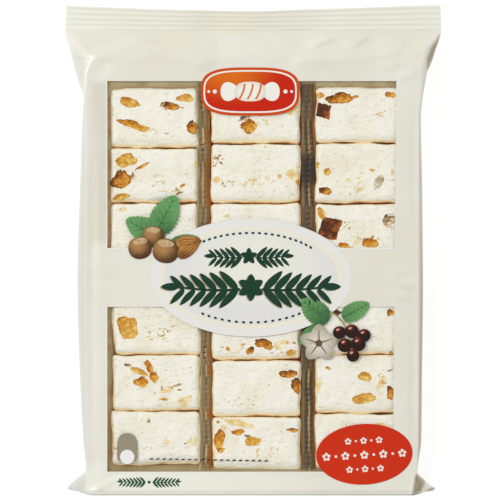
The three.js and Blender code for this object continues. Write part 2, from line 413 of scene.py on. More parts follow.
@dataclass(frozen=True)
class NougatFinish:
    """Whipped nougat: warm off-white with fine pores, and painted shade in its pits. Down its lips and
    into its seams the colour is painted by depth: painted shade in cream, then painted light that
    passes through the nougat, tan or amber and brown deepest, which also glows.
    """

    name: str = "nougat"
    top: float = 16.75
    pale: tuple = linear(248, 245, 231)
    warm: tuple = linear(242, 236, 213)
    cream: tuple = linear(236, 221, 180)
    amber: tuple = linear(200, 152, 86)
    tan: tuple = linear(224, 205, 164)
    brown: tuple = linear(148, 88, 28)
    crumb: tuple = linear(230, 198, 140)
    painted_pit_shade: tuple = linear(222, 204, 164)
    glow: float = 0.26

    def build(self) -> bpy.types.Material:
        """Make the material."""
        tree = ShaderTree(self.name)
        cloud = tree.noise(11, 3).step(0.4, 0.75)
        base = tree.blend(cloud, self.pale, self.warm)
        where = tree.noise(8, 2).step(0.44, 0.62)
        crumbs = tree.noise(1.1, 2).step(0.65, 0.73) * where
        base = tree.blend(crumbs * 0.7, base, self.crumb)
        strokes = tree.noise(1.5, 3, tree.place(0.14, (0.3, 1, 1)))
        lumps = tree.noise(3.2, 3)
        pores = tree.noise(0.75, 3)
        pits = (pores * 0.6 + strokes * 0.55).step(0.5, 0.36) * tree.noise(10, 2).step(0.35, 0.6)
        # painted shade in the pits
        base = tree.blend(pits * 0.75, base, self.painted_pit_shade)
        rough = tree.noise(2.6, 3) - 0.5
        # painted shade and light by depth below the top: cream down the lips, tan or amber, then brown
        # deepest in the seams
        depth = self.top - tree.axis(2) + rough * 0.7
        base = tree.blend(depth.step(0.5, 1.7), base, self.cream)
        edge = tree.blend(tree.noise(7, 2).step(0.42, 0.6), self.tan, self.amber)
        base = tree.blend(depth.step(1.6, 2.4), base, edge)
        colour = tree.blend(depth.step(2.6, 3.7), base, self.brown)
        # a glow of painted light deep in the seams, for light that passes through the nougat
        lit = tree.blend(depth.step(0.8, 2.4), (0, 0, 0, 1), colour)
        height = lumps * 0.5 + strokes * 0.4 + pores * 0.3 - pits * 0.12
        inputs = {
            "Base Color": colour,
            "Roughness": 0.6,
            "Emission Color": lit,
            "Emission Strength": self.glow,
            "Normal": tree.bump(height, 0.85, 1.3),
        }
        return tree.surface(inputs)


@dataclass(frozen=True)
class MorselFinish:
    """A cut nut or piece of fruit: granular, from a dark side through a body to a light side, the sides
    being painted shade and light carried by the mesh's "tone".
    """

    name: str
    dark: tuple
    middle: tuple
    light: tuple
    grain: float = 0.9
    roughness: float = 0.5

    def build(self) -> bpy.types.Material:
        """Make the material."""
        tree = ShaderTree(self.name)
        grain = tree.noise(self.grain, 3)
        patch = tree.noise(self.grain * 2.6, 1)
        # the mesh's "tone" carries painted shade and light: dark on the upper left and round the rim
        tone = tree.attribute("tone") + (grain - 0.5) * 0.9 + (patch - 0.5) * 1.1
        stops = [(0.12, self.dark), (0.5, self.middle), (0.85, self.light)]
        colour = tree.node("ShaderNodeValToRGB", {"stops": stops}, {0: tone})
        inputs = {
            "Base Color": colour,
            "Roughness": self.roughness,
            "Specular IOR Level": 0.12,
            "Normal": tree.bump(grain, 0.5, 0.5),
        }
        return tree.surface(inputs)


@dataclass(frozen=True)
class InkFinish:
    """Print on the film: one colour that may pass to another away from a centre."""

    name: str
    inner: tuple
    outer: tuple | None = None
    centre: tuple[float, float] = (0.0, 0.0)
    reach: tuple[float, float] = (1.0, 1.0)
    start: float = 0.0
    end: float = 1.0
    mottle: float = 0.0

    def build(self) -> bpy.types.Material:
        """Make the material."""
        tree = ShaderTree(self.name)
        colour: object = self.inner
        if self.outer:
            across = (tree.axis(0) - self.centre[0]) / self.reach[0]
            along = (tree.axis(1) - self.centre[1]) / self.reach[1]
            away = (across * across + along * along).math("SQRT")
            if self.mottle:
                away = away + (tree.noise(2.4, 3) - 0.5) * self.mottle
            colour = tree.blend(away.step(self.start, self.end), self.inner, self.outer)
        elif self.mottle:
            deeper = tuple(part * 0.55 for part in self.inner[:3]) + (1.0,)
            mask = tree.noise(1.6, 3).step(0.4, 0.66) * self.mottle
            colour = tree.blend(mask, self.inner, deeper)
        inputs = {"Base Color": colour, "Roughness": 0.36, "Specular IOR Level": 0.18}
        return tree.surface(inputs)


@dataclass(frozen=True)
class FloorFinish:
    """A plain white sweep that glows, so that the soft shadow of the pack stays faint."""

    name: str = "floor"
    white: float = 0.3
    glow: float = 0.82

    def build(self) -> bpy.types.Material:
        """Make the material."""
        tree = ShaderTree(self.name)
        inputs = {
            "Base Color": (self.white, self.white, self.white, 1),
            "Roughness": 0.9,
            "Specular IOR Level": 0.0,
            "Emission Color": (1, 1, 1, 1),
            "Emission Strength": self.glow,
        }
        return tree.surface(inputs)


def make_piece(
    name: str,
    mesh: bmesh.types.BMesh,
    material: bpy.types.Material,
    slot: str | None = None,
) -> bpy.types.Object:
    """Turn a finished bmesh, in mm, into an object that rides on the pack.

    Args:
        name: the piece's name.
        mesh: its mesh in mm, which is freed.
        material: its finish.
        slot: a material slot name for what is part of the pack, or None for what isn't; only
            whether it is given is used, to attach the piece to the pack's body.

    Returns:
        The object.
    """
    for face in mesh.faces:
        face.smooth = True
    bmesh.ops.scale(mesh, vec=(MM, MM, MM), verts=mesh.verts)
    data = bpy.data.meshes.new(name)
    mesh.to_mesh(data)
    mesh.free()
    data.materials.append(material)
    piece = bpy.data.objects.new(name, data)
    bpy.context.scene.collection.objects.link(piece)
    if slot:
        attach(piece, BODY)
    log.info("%s: %d faces", name, len(data.polygons))
    return piece


def joined(parts: Iterable[bmesh.types.BMesh]) -> bmesh.types.BMesh:
    """Several meshes as one. The parts are freed."""
    whole = bmesh.new()
    for part in parts:
        data = bpy.data.meshes.new("part")
        part.to_mesh(data)
        part.free()
        whole.from_mesh(data)
        bpy.data.meshes.remove(data)
    return whole


def heading(turn: float) -> tuple[Vector, Vector]:
    """The unit vectors ahead and to the left at a turn in degrees, seen from above."""
    ahead = Vector((math.cos(math.radians(turn)), math.sin(math.radians(turn))))
    return ahead, Vector((-ahead.y, ahead.x))


def curve_value(points: Curve, y: float) -> float:
    """Read a smooth curve through (y, value) points in falling y, without overshoot.

    Args:
        points: the curve's points.
        y: where to read it.

    Returns:
        The value there.
    """
    last = len(points) - 1
    after = next((i for i, point in enumerate(points) if point[0] <= y), None)
    if after is None:
        return points[last][1]
    if after == 0:
        return points[0][1]
    i = after - 1

    def slope(a: int) -> float:
        """The slope from point a to the next."""
        return (points[a + 1][1] - points[a][1]) / (points[a + 1][0] - points[a][0])

    def tangent(a: int) -> float:
        """The curve's slope at point a."""
        if a in (0, last):
            return slope(min(a, last - 1))
        before, behind = slope(a - 1), slope(a)
        return 0.0 if before * behind <= 0 else 2 * before * behind / (before + behind)

    span = points[i + 1][0] - points[i][0]
    t = (y - points[i][0]) / span
    return (
        (2 * t**3 - 3 * t**2 + 1) * points[i][1]
        + (t**3 - 2 * t**2 + t) * span * tangent(i)
        + (3 * t**2 - 2 * t**3) * points[i + 1][1]
        + (t**3 - t**2) * span * tangent(i + 1)
    )


@dataclass(frozen=True)
class Station:
    """One closed section of the film's sweep."""

    y: float
    z: float
    half: float
    lean: float = 0.0
    dip: float = 0.0
    bend: float = 0.0


@dataclass(frozen=True)
class Dent:
    """A soft hollow (or, with a negative depth, a swelling) in the film, seen from above."""

    x: float
    y: float
    long: float
    wide: float
    depth: float
    turn: float = 0.0

    def at(self, x: float, y: float) -> float:
        """How deep the film lies here because of it."""
        turn = math.radians(self.turn)
        across, along = x - self.x, y - self.y
        u = (across * math.cos(turn) + along * math.sin(turn)) / self.long
        v = (along * math.cos(turn) - across * math.sin(turn)) / self.wide
        away = u * u + v * v
        return self.depth * math.exp(-1.6 * away) if away < 6 else 0.0


@dataclass(frozen=True)
class Crease:
    """A ridge in the film along a line seen from above, steep on its right-hand side."""

    start: tuple[float, float]
    end: tuple[float, float]
    height: float
    steep: float = 1.1
    soft: float = 4.5

    def at(self, x: float, y: float) -> float:
        """How far the film stands up here because of it."""
        ahead = (self.end[0] - self.start[0], self.end[1] - self.start[1])
        length = math.hypot(*ahead)
        across, along = x - self.start[0], y - self.start[1]
        part = (across * ahead[0] + along * ahead[1]) / length**2
        if not 0 < part < 1:
            return 0.0
        off = (ahead[0] * along - ahead[1] * across) / length
        width = self.soft if off > 0 else self.steep
        ends = smoothstep(0, 0.3, part) * smoothstep(1, 0.7, part)
        return self.height * ends * math.exp(-((off / width) ** 2))


@dataclass(frozen=True)
class ShadePatch:
    """A patch of painted shade on the film, seen from above: khaki, or with a tone below 0 cold grey."""

    corners: tuple[tuple[float, float], ...]
    tone: float
    soft: float = 0.8

    def at(self, x: float, y: float) -> float:
        """How much shade it paints on the film here. Its corners run counter-clockwise."""
        inside = min(
            ((b[0] - a[0]) * (y - a[1]) - (b[1] - a[1]) * (x - a[0])) / math.dist(a, b)
            for a, b in zip(self.corners, (*self.corners[1:], self.corners[0]))
        )
        return self.tone * smoothstep(0.0, self.soft, inside)


@dataclass
class PackForm:
    """The pack's outer form, as the CAD solid has it, the small relief of its film, and the shade painted
    on that film.
    """

    half_length: float = 119.9
    thickness: float = 17.6
    film: float = 0.8
    seal_depth: float = 12.2
    seal_height: float = 8.6
    seal_dip: Curve = (
        (1.0, -0.1), (0.92, 0.0), (0.785, 0.35), (0.52, 1.25), (0.25, 2.0), (0.0, 2.8),
        (-0.28, 2.35), (-0.55, 1.7), (-0.76, 0.95), (-1.0, 0.0),
    )
    crimp_pitch: float = 2.7
    crimp_swing: float = 0.25
    wrinkle: float = 1.6
    flare_depth: float = 15.6
    head_ease: float = 1.7
    foot_round: float = 2.4
    fold_height: float = 11.5
    fold_back: float = 0.65
    strip_foot: float = 0.7
    fold_radius: float = 0.5
    ear_bend: tuple[float, float] = (3.2, 2.7)
    ear_start: float = 0.875
    ear_power: float = 1.08
    # painted shade: khaki on the right side's turn towards its edge, cold grey on the left side's turn
    right_painted_shade: tuple[float, float] = (0.66, 0.95)
    left_painted_shade: float = 0.46
    left_edge: Curve = (
        (119.9, -91.6), (107.6, -92.1), (98.0, -89.7), (83.3, -85.9), (73.0, -83.0),
        (66.0, -83.4), (29.0, -84.8), (-15.0, -86.0), (-59.0, -84.9), (-93.0, -83.1),
        (-107.4, -81.8), (-109.3, -83.2), (-112.2, -86.8), (-115.2, -89.8), (-116.8, -90.8),
        (-118.2, -89.8), (-119.9, -90.2),
    )
    right_edge: Curve = (
        (119.9, 91.9), (107.6, 92.1), (97.0, 89.1), (93.1, 87.9), (90.2, 86.8), (87.2, 85.4),
        (83.3, 84.7), (75.0, 83.2), (66.0, 82.2), (29.0, 82.9), (-19.0, 83.3), (-59.0, 82.8),
        (-93.0, 82.4), (-108.8, 80.4), (-110.0, 81.2), (-111.3, 82.6), (-112.8, 84.2),
        (-115.2, 86.6), (-116.8, 89.2), (-118.2, 88.4), (-119.9, 89.0),
    )
    left_fold: Curve = (
        (119.9, -90.6), (107.6, -86.5), (102.4, -78.5), (98.0, -75.0), (94.6, -75.8),
        (92.1, -78.8), (90.0, -80.0), (87.2, -80.9), (83.3, -81.4), (76.4, -81.9), (66.0, -81.6),
        (29.0, -80.6), (-93.0, -80.4), (-109.8, -80.2), (-118.6, -79.0), (-119.9, -79.0),
    )
    right_fold: Curve = (
        (119.9, 91.3), (107.6, 91.5), (98.0, 84.8), (93.1, 83.4), (89.7, 82.8),
        (81.8, 82.2), (73.0, 81.4), (66.0, 80.6), (29.0, 80.2), (-93.0, 79.8),
        (-109.8, 79.6), (-118.6, 78.3), (-119.9, 78.3),
    )
    left_power: Curve = (
        (119.9, 2.0), (107.6, 2.0), (99.0, 2.0), (94.6, 1.7), (92.0, 1.35), (84.0, 1.35), (70.0, 2.0),
        (-105.0, 2.4), (-112.0, 1.4), (-119.9, 1.3),
    )
    right_power: Curve = (
        (119.9, 2.0), (107.6, 1.6), (95.0, 1.3), (84.0, 1.6), (70.0, 2.4),
        (-105.0, 2.4), (-112.0, 1.4), (-119.9, 1.3),
    )
    channel: tuple[float, float, float, float] = (-18.0, 16.0, -106.0, 88.0)
    channel_depth: float = 0.9
    channel_ease: float = 0.8
    # painted shade: the right gusset at the head, a band along the upper window's left side, the right
    # ear, and cold grey on the left ear
    shade_patches: tuple[ShadePatch, ...] = (
        ShadePatch(
            (
                (92.0, 107.6), (86.2, 99.2), (84.0, 93.6), (83.6, 88.6), (84.4, 85.6), (92.0, 90.0),
                (97.0, 104.0),
            ),
            0.98, 1.9,
        ),
        ShadePatch(((-80.5, 84.0), (-80.5, 2.0), (-69.0, 2.0), (-69.0, 84.0)), 0.18, 4.0),
        ShadePatch(((79.2, -109.2), (77.3, -121.4), (80.3, -121.4), (85.3, -112.0), (83.2, -109.8)), 0.9, 0.5),
        ShadePatch(((85.0, -116.2), (84.4, -119.0), (91.6, -119.0), (90.8, -115.6)), 0.7, 0.9),
        ShadePatch(
            ((-91.0, -118.0), (-80.6, -117.4), (-79.6, -110.6), (-83.0, -108.0), (-92.6, -116.8)),
            -0.17, 1.0,
        ),
    )
    dents: tuple[Dent, ...] = (
        Dent(-72.0, 102.0, 16, 3.6, 0.9, -4),
        Dent(-37.5, 100.3, 22, 1.9, 0.75),
        Dent(-17.2, 99.9, 2.4, 2.0, 0.35, -40),
        Dent(-25.0, 91.0, 7, 4.0, -0.4),
        Dent(26.0, 90.5, 9, 4.4, -0.45),
        Dent(8.0, 103.2, 13, 2.2, 0.45, -15),
        Dent(22.0, 100.2, 7, 1.8, 0.65, -12),
        Dent(42.5, 102.0, 6, 2.4, 0.95, 6),
        Dent(60.0, 101.6, 10, 2.6, 0.95, -8),
        Dent(63.0, 92.8, 9, 2.4, 0.3, 4),
        Dent(74.0, 97.0, 8, 3.4, 0.5, 32),
        Dent(71.0, 88.4, 5, 2.0, 0.35, 20),
        Dent(-74.0, 88.0, 7, 4.0, 0.35, 55),
        Dent(-78.4, 14.0, 2.4, 62, 0.42),
        Dent(-78.2, -62.0, 2.4, 38, 0.3),
        Dent(78.6, 40.0, 2.0, 40, 0.28),
        Dent(78.2, -66.0, 2.2, 36, 0.35),
        Dent(74.0, -13.4, 9, 2.2, 0.4, 18),
        Dent(70.0, -18.8, 8, 1.8, 0.3, -14),
        Dent(78.0, -20.0, 4, 3.2, 0.45, 40),
        Dent(-64.0, -12.0, 12, 6.0, 0.25, 25),
        Dent(-76.0, -14.0, 6, 3.0, 0.3, -30),
        Dent(-70.0, -112.0, 8, 2.2, 0.5, 34),
        Dent(-78.0, -104.0, 4, 8.0, 0.35, 0),
        Dent(74.0, -108.0, 6, 3.0, 0.35, -50),
        Dent(30.0, -111.0, 30, 2.6, 0.25, 1),
    )
    creases: tuple[Crease, ...] = (
        Crease((2.0, 105.5), (28.0, 97.4), 0.45, 1.2, 3.4),
        Crease((26.0, 97.4), (40.0, 104.4), 0.55, 1.0, 2.6),
        Crease((37.0, 104.2), (50.0, 98.4), 0.4, 1.4, 2.6),
        Crease((48.0, 98.0), (57.0, 106.0), 0.5, 1.0, 3.0),
        Crease((-60.0, 98.4), (-12.0, 98.2), 0.3, 2.6, 1.2),
        Crease((-32.0, 89.6), (-19.0, 92.4), 0.14, 2.2, 1.6),
        Crease((18.0, 89.0), (27.0, 94.6), 0.14, 2.4, 1.6),
        Crease((25.0, 94.6), (36.0, 92.0), 0.14, 2.4, 1.6),
        Crease((69.0, 82.0), (82.0, 88.0), 0.35, 1.6, 2.0),
        Crease((-88.0, 103.5), (-80.0, 96.0), 0.35, 1.0, 2.0),
        Crease((-80.5, -119.0), (-65.0, -110.5), 0.9, 1.2, 1.0),
        Crease((77.0, -121.0), (85.6, -109.5), 0.7, 1.3, 2.2),
        Crease((80.0, -119.5), (90.0, -112.5), -0.5, 1.2, 1.2),
        Crease((-82.0, -110.0), (-88.0, -117.0), 0.5, 1.0, 1.6),
        Crease((64.0, -12.0), (82.0, -21.6), 0.4, 1.0, 2.4),
        Crease((66.0, -24.0), (82.4, -21.4), 0.35, 1.0, 2.2),
    )

    def seal_stations(self, step: float = 0.3) -> list[Station]:
        """The crimped head seal, from its free edge to the slope."""
        steps = round(self.seal_depth / step)
        made = []
        for i in range(steps + 1):
            down = self.seal_depth * i / steps
            swing = math.sin(2 * math.pi * down / self.crimp_pitch) * self.crimp_swing
            half = 0.0 if i == 0 else self.film / 2
            dip = 1 - down / self.seal_depth
            made.append(Station(self.half_length - down, self.seal_height + swing, half, dip=dip))
        return made

    @staticmethod
    def body_station(y: float, back: float, front: float, bend: float = 0.0) -> Station:
        """A station from the heights of its back and front film."""
        return Station(y, (back + front) / 2, (front - back) / 2, bend=bend)

    def head_stations(self, steps: int = 34) -> list[Station]:
        """From the seal up the slope, which eases into the flat over the tray's head end."""
        start = self.half_length - self.seal_depth
        made = []
        for i in range(1, steps + 1):
            rise = 1 - (1 - i / steps) ** self.head_ease
            front = mix(self.seal_height + self.film / 2, self.thickness, rise)
            back = mix(self.seal_height - self.film / 2, 0, rise)
            made.append(self.body_station(start - i / steps * self.flare_depth, back, front))
        return made

    def tray_stations(self, step: float = 1.25) -> list[Station]:
        """Along the tray, where only the width changes."""
        first = self.half_length - self.seal_depth - self.flare_depth - step
        last = -self.half_length + self.fold_back + self.foot_round + step / 2
        steps = round((first - last) / step)
        spots = [mix(first, last, i / steps) for i in range(steps + 1)]
        return [self.body_station(y, 0, self.thickness) for y in spots]

    def foot_stations(self, steps: int = 16) -> list[Station]:
        """Round the tray's foot end to the fold of the seal, while the ears draw out."""
        start = -self.half_length + self.fold_back + self.foot_round
        made = []
        for i in range(steps + 1):
            turn = i / steps * math.pi / 2
            fall = 1 - math.cos(turn)
            front = mix(self.thickness, self.fold_height + self.film / 2, fall)
            back = mix(0, self.fold_height - self.film / 2, fall**1.3)
            y = start - self.foot_round * math.sin(turn)
            made.append(self.body_station(y, back, front, bend=fall))
        return made

    def strip_stations(self, step: float = 0.4) -> list[Station]:
        """The foot's seal strip, turned down at its fold and hanging to the surface."""
        fold = -self.half_length + self.fold_back
        made = []
        for part in (0.2, 0.4, 0.6, 0.8, 1.0):
            lean = part * math.pi / 2
            y = fold - self.fold_radius * math.sin(lean)
            z = self.fold_height - self.fold_radius * (1 - math.cos(lean))
            made.append(Station(y, z, self.film / 2, lean, bend=1))
        top = self.fold_height - self.fold_radius
        steps = round((top - self.strip_foot) / step)
        for i in range(1, steps + 1):
            part = i / steps
            down = part * (top - self.strip_foot)
            swing = math.sin(2 * math.pi * down / self.crimp_pitch) * self.crimp_swing / 2
            half = 0.0 if i == steps else self.film / 2
            y = fold - self.fold_radius - swing * (1 - part)
            made.append(Station(y, top - down, half, math.pi / 2, bend=1))
        return made

    def stations(self) -> list[Station]:
        """All stations, from the head's free edge to the foot's."""
        head = self.seal_stations() + self.head_stations()
        return head + self.tray_stations() + self.foot_stations() + self.strip_stations()

    def relief(self, x: float, y: float) -> float:
        """How far the front film stands off its plain form here, in mm."""
        waves = 0.2 * noise.noise(Vector((x / 34, y / 27, 3.1)))
        waves += 0.06 * noise.noise(Vector((x / 11, y / 13, 7.7)))
        slope = smoothstep(86, 94, y) * smoothstep(110, 104, y)
        waves += 0.9 * slope * noise.noise(Vector((x / 13, y / 6, 1.3)))
        hollow = sum(dent.at(x, y) for dent in self.dents)
        raised = sum(crease.at(x, y) for crease in self.creases)
        return waves + self.wrinkle * (raised - hollow)

    def hollow(self, x: float, y: float) -> float:
        """How far the back film stands up in the channel of its lengthwise seam, in mm."""
        left, right, foot, head = self.channel
        ease = self.channel_ease
        across = smoothstep(left - ease, left + ease, x) * smoothstep(right + ease, right - ease, x)
        along = smoothstep(foot - ease, foot + ease, y) * smoothstep(head + ease, head - ease, y)
        return self.channel_depth * across * along

    def section_point(self, at: Station, place: float, side: int) -> Vector:
        """A point on the film.

        Args:
            at: the section.
            place: -1 to 1 on the flat face, and 1 further for each turn to the edge.
            side: 1 for the front film and -1 for the back.

        Returns:
            The point in mm.
        """
        edges = (curve_value(self.left_edge, at.y), curve_value(self.right_edge, at.y))
        folds = (curve_value(self.left_fold, at.y), curve_value(self.right_fold, at.y))
        end = 0 if place < 0 else 1
        power = curve_value((self.left_power, self.right_power)[end], at.y)
        turn = min(1.0, max(0.0, abs(place) - 1))
        flat = mix(folds[0], folds[1], (place + 1) / 2)
        x = mix(folds[end], edges[end], turn) if turn > 0 else flat
        across = (x - (edges[0] + edges[1]) / 2) / ((edges[1] - edges[0]) / 2)
        height = at.half * side * (1 - turn**power) ** (1 / power)
        dipped = at.dip * curve_value(self.seal_dip, across)
        drawn = max(0.0, (abs(across) - self.ear_start) / (1 - self.ear_start)) ** self.ear_power
        bent = at.bend * self.ear_bend[end] * drawn
        y = at.y - dipped + bent - math.sin(at.lean) * height
        z = at.z + math.cos(at.lean) * height
        if at.dip > 0:
            z += 0.35 * (1 - at.dip) * noise.noise(Vector((x / 15, 0, 9.0)))
            z += 0.1 * noise.noise(Vector((x / 9, at.y / 2, 5.0)))
        elif side < 0 and at.lean == 0:
            z += self.hollow(x, y)
        elif side > 0 and at.lean == 0:
            z += self.relief(x, y) * (1 - turn**3) * min(1.0, max(0.0, at.half - 0.4) / 1.2)
        return Vector((x, y, z))

    def shade(self, at: Station, place: float, spot: Vector) -> float:
        """How much shade is painted on the film at a point of a section: khaki above 0, cold grey below
        0.
        """
        painted_shade = sum(shade_patch.at(spot.x, spot.y) for shade_patch in self.shade_patches)
        # the left side's turn gets a cold grey painted shade, fading out towards the head
        if place < 0:
            return painted_shade - self.left_painted_shade * smoothstep(1.0, 1.5, -place) * smoothstep(106, 84, at.y)
        # the right side's turn gets a khaki painted shade towards its edge, deeper towards the foot
        edge = mix(*self.right_painted_shade, smoothstep(20, -60, at.y)) * smoothstep(1.1, 1.85, place)
        return min(1.0, max(painted_shade, edge * smoothstep(-112, -106, at.y) * smoothstep(95, 84, at.y)))

    def front(self, x: float, y: float) -> float:
        """The height of the flat part of the front film here, in mm."""
        return self.thickness + self.relief(x, y)


@dataclass
class Window:
    """A clear window: its sides in mm. The right side leans in towards the foot."""

    low: float
    high: float
    left: float = -71.0
    right_low: float = 68.2
    right_high: float = 69.2

    def cuts(self) -> list[tuple[Vector, Vector]]:
        """Its four sides as planes, each a point and a normal."""
        lean = Vector((self.high - self.low, self.right_low - self.right_high, 0)).normalized()
        return [
            (Vector((self.left, 0, 0)), Vector((1, 0, 0))),
            (Vector((self.right_low, self.low, 0)), lean),
            (Vector((0, self.low, 0)), Vector((0, 1, 0))),
            (Vector((0, self.high, 0)), Vector((0, 1, 0))),
        ]

    def holds(self, x: float, y: float) -> bool:
        """Whether this point, seen from above, is in the window."""
        if not self.low < y < self.high:
            return False
        part = (y - self.low) / (self.high - self.low)
        return self.left < x < mix(self.right_low, self.right_high, part)


@dataclass
class FilmShell:
    """The pack's film: the printed shell and the clear panes in its two windows."""

    form: PackForm
    windows: tuple[Window, ...] = (
        Window(1.0, 82.3, right_low=69.0, right_high=69.8),
        Window(-108.0, -27.7, right_low=68.2, right_high=68.8),
    )
    flat_steps: int = 132
    turn_steps: int = 14

    def places(self) -> list[float]:
        """The section's places across, closer together at the turns."""
        turn = [math.sin(math.pi / 2 * (i + 1) / self.turn_steps) for i in range(self.turn_steps)]
        flat = [2 * i / self.flat_steps - 1 for i in range(self.flat_steps + 1)]
        return [-1 - part for part in reversed(turn)] + flat + [1 + part for part in turn]

    def sheet(self, side: int) -> bmesh.types.BMesh:
        """The front (1) or back (-1) film as one grid laid over its form."""
        places, stations = self.places(), self.form.stations()
        wide, tall = len(places) - 1, len(stations) - 1
        mesh = bmesh.new()
        bmesh.ops.create_grid(mesh, x_segments=wide, y_segments=tall, size=1.0)
        shade = mesh.verts.layers.float.new("shade")
        for vert in mesh.verts:
            column = round((vert.co.x + 1) / 2 * wide)
            row = round((1 - vert.co.y) / 2 * tall)
            vert.co = self.form.section_point(stations[row], places[column], side)
            vert[shade] = self.form.shade(stations[row], places[column], vert.co)
        if side < 0:
            bmesh.ops.reverse_faces(mesh, faces=mesh.faces)
        return mesh

    def keep(self, mesh: bmesh.types.BMesh, inside: bool) -> bmesh.types.BMesh:
        """Keep only the faces inside, or outside, the windows."""

        def in_window(face: bmesh.types.BMFace) -> bool:
            """Whether a face of the front film is in a window."""
            middle = face.calc_center_median()
            return any(window.holds(middle.x, middle.y) for window in self.windows)

        gone = [face for face in mesh.faces if in_window(face) != inside]
        bmesh.ops.delete(mesh, geom=gone, context="FACES")
        return mesh

    def build(self) -> None:
        """Make the printed film and the clear panes."""
        front = self.sheet(1)
        for window in self.windows:
            for spot, normal in window.cuts():
                geometry = [*front.verts, *front.edges, *front.faces]
                bmesh.ops.bisect_plane(front, geom=geometry, plane_co=spot, plane_no=normal, dist=1e-4)
        panes = self.keep(front.copy(), inside=True)
        shell = self.keep(front, inside=False)
        shell = joined((shell, self.sheet(-1)))
        bmesh.ops.remove_doubles(shell, verts=shell.verts, dist=1e-4)
        film = make_piece("printed_film", shell, FilmFinish().build(), "printed_film")
        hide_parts(NODE)
        make_piece("window_film", panes, ClearFinish().build(), "clear_film")


@dataclass
class BackSeam:
    """The flat lengthwise seam of the back: a crimped strip that lies in the back's channel."""

    form: PackForm
    width: float = 12.0
    ply: float = 0.3
    middle: float = 0.62
    swing: float = 0.08

    def build(self) -> None:
        """Make the strip, with its crimps across it."""
        left, right, foot, head = self.form.channel
        centre = (left + right) / 2
        mesh = bmesh.new()
        bmesh.ops.create_grid(mesh, x_segments=6, y_segments=576, size=1.0)
        shade = mesh.verts.layers.float.new("shade")
        for vert in mesh.verts:
            x = centre + vert.co.x * self.width / 2
            y = mix(foot, head, (vert.co.y + 1) / 2)
            wave = math.sin(2 * math.pi * y / self.form.crimp_pitch) * self.swing
            vert.co = Vector((x, y, self.middle - self.ply / 2 + wave))
            vert[shade] = 0.0
        bmesh.ops.solidify(mesh, geom=mesh.faces, thickness=-self.ply)
        bmesh.ops.recalc_face_normals(mesh, faces=mesh.faces)
        seam = make_piece("back_seam", mesh, FilmFinish("back_seam").build(), "printed_film")
        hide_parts(NODE)


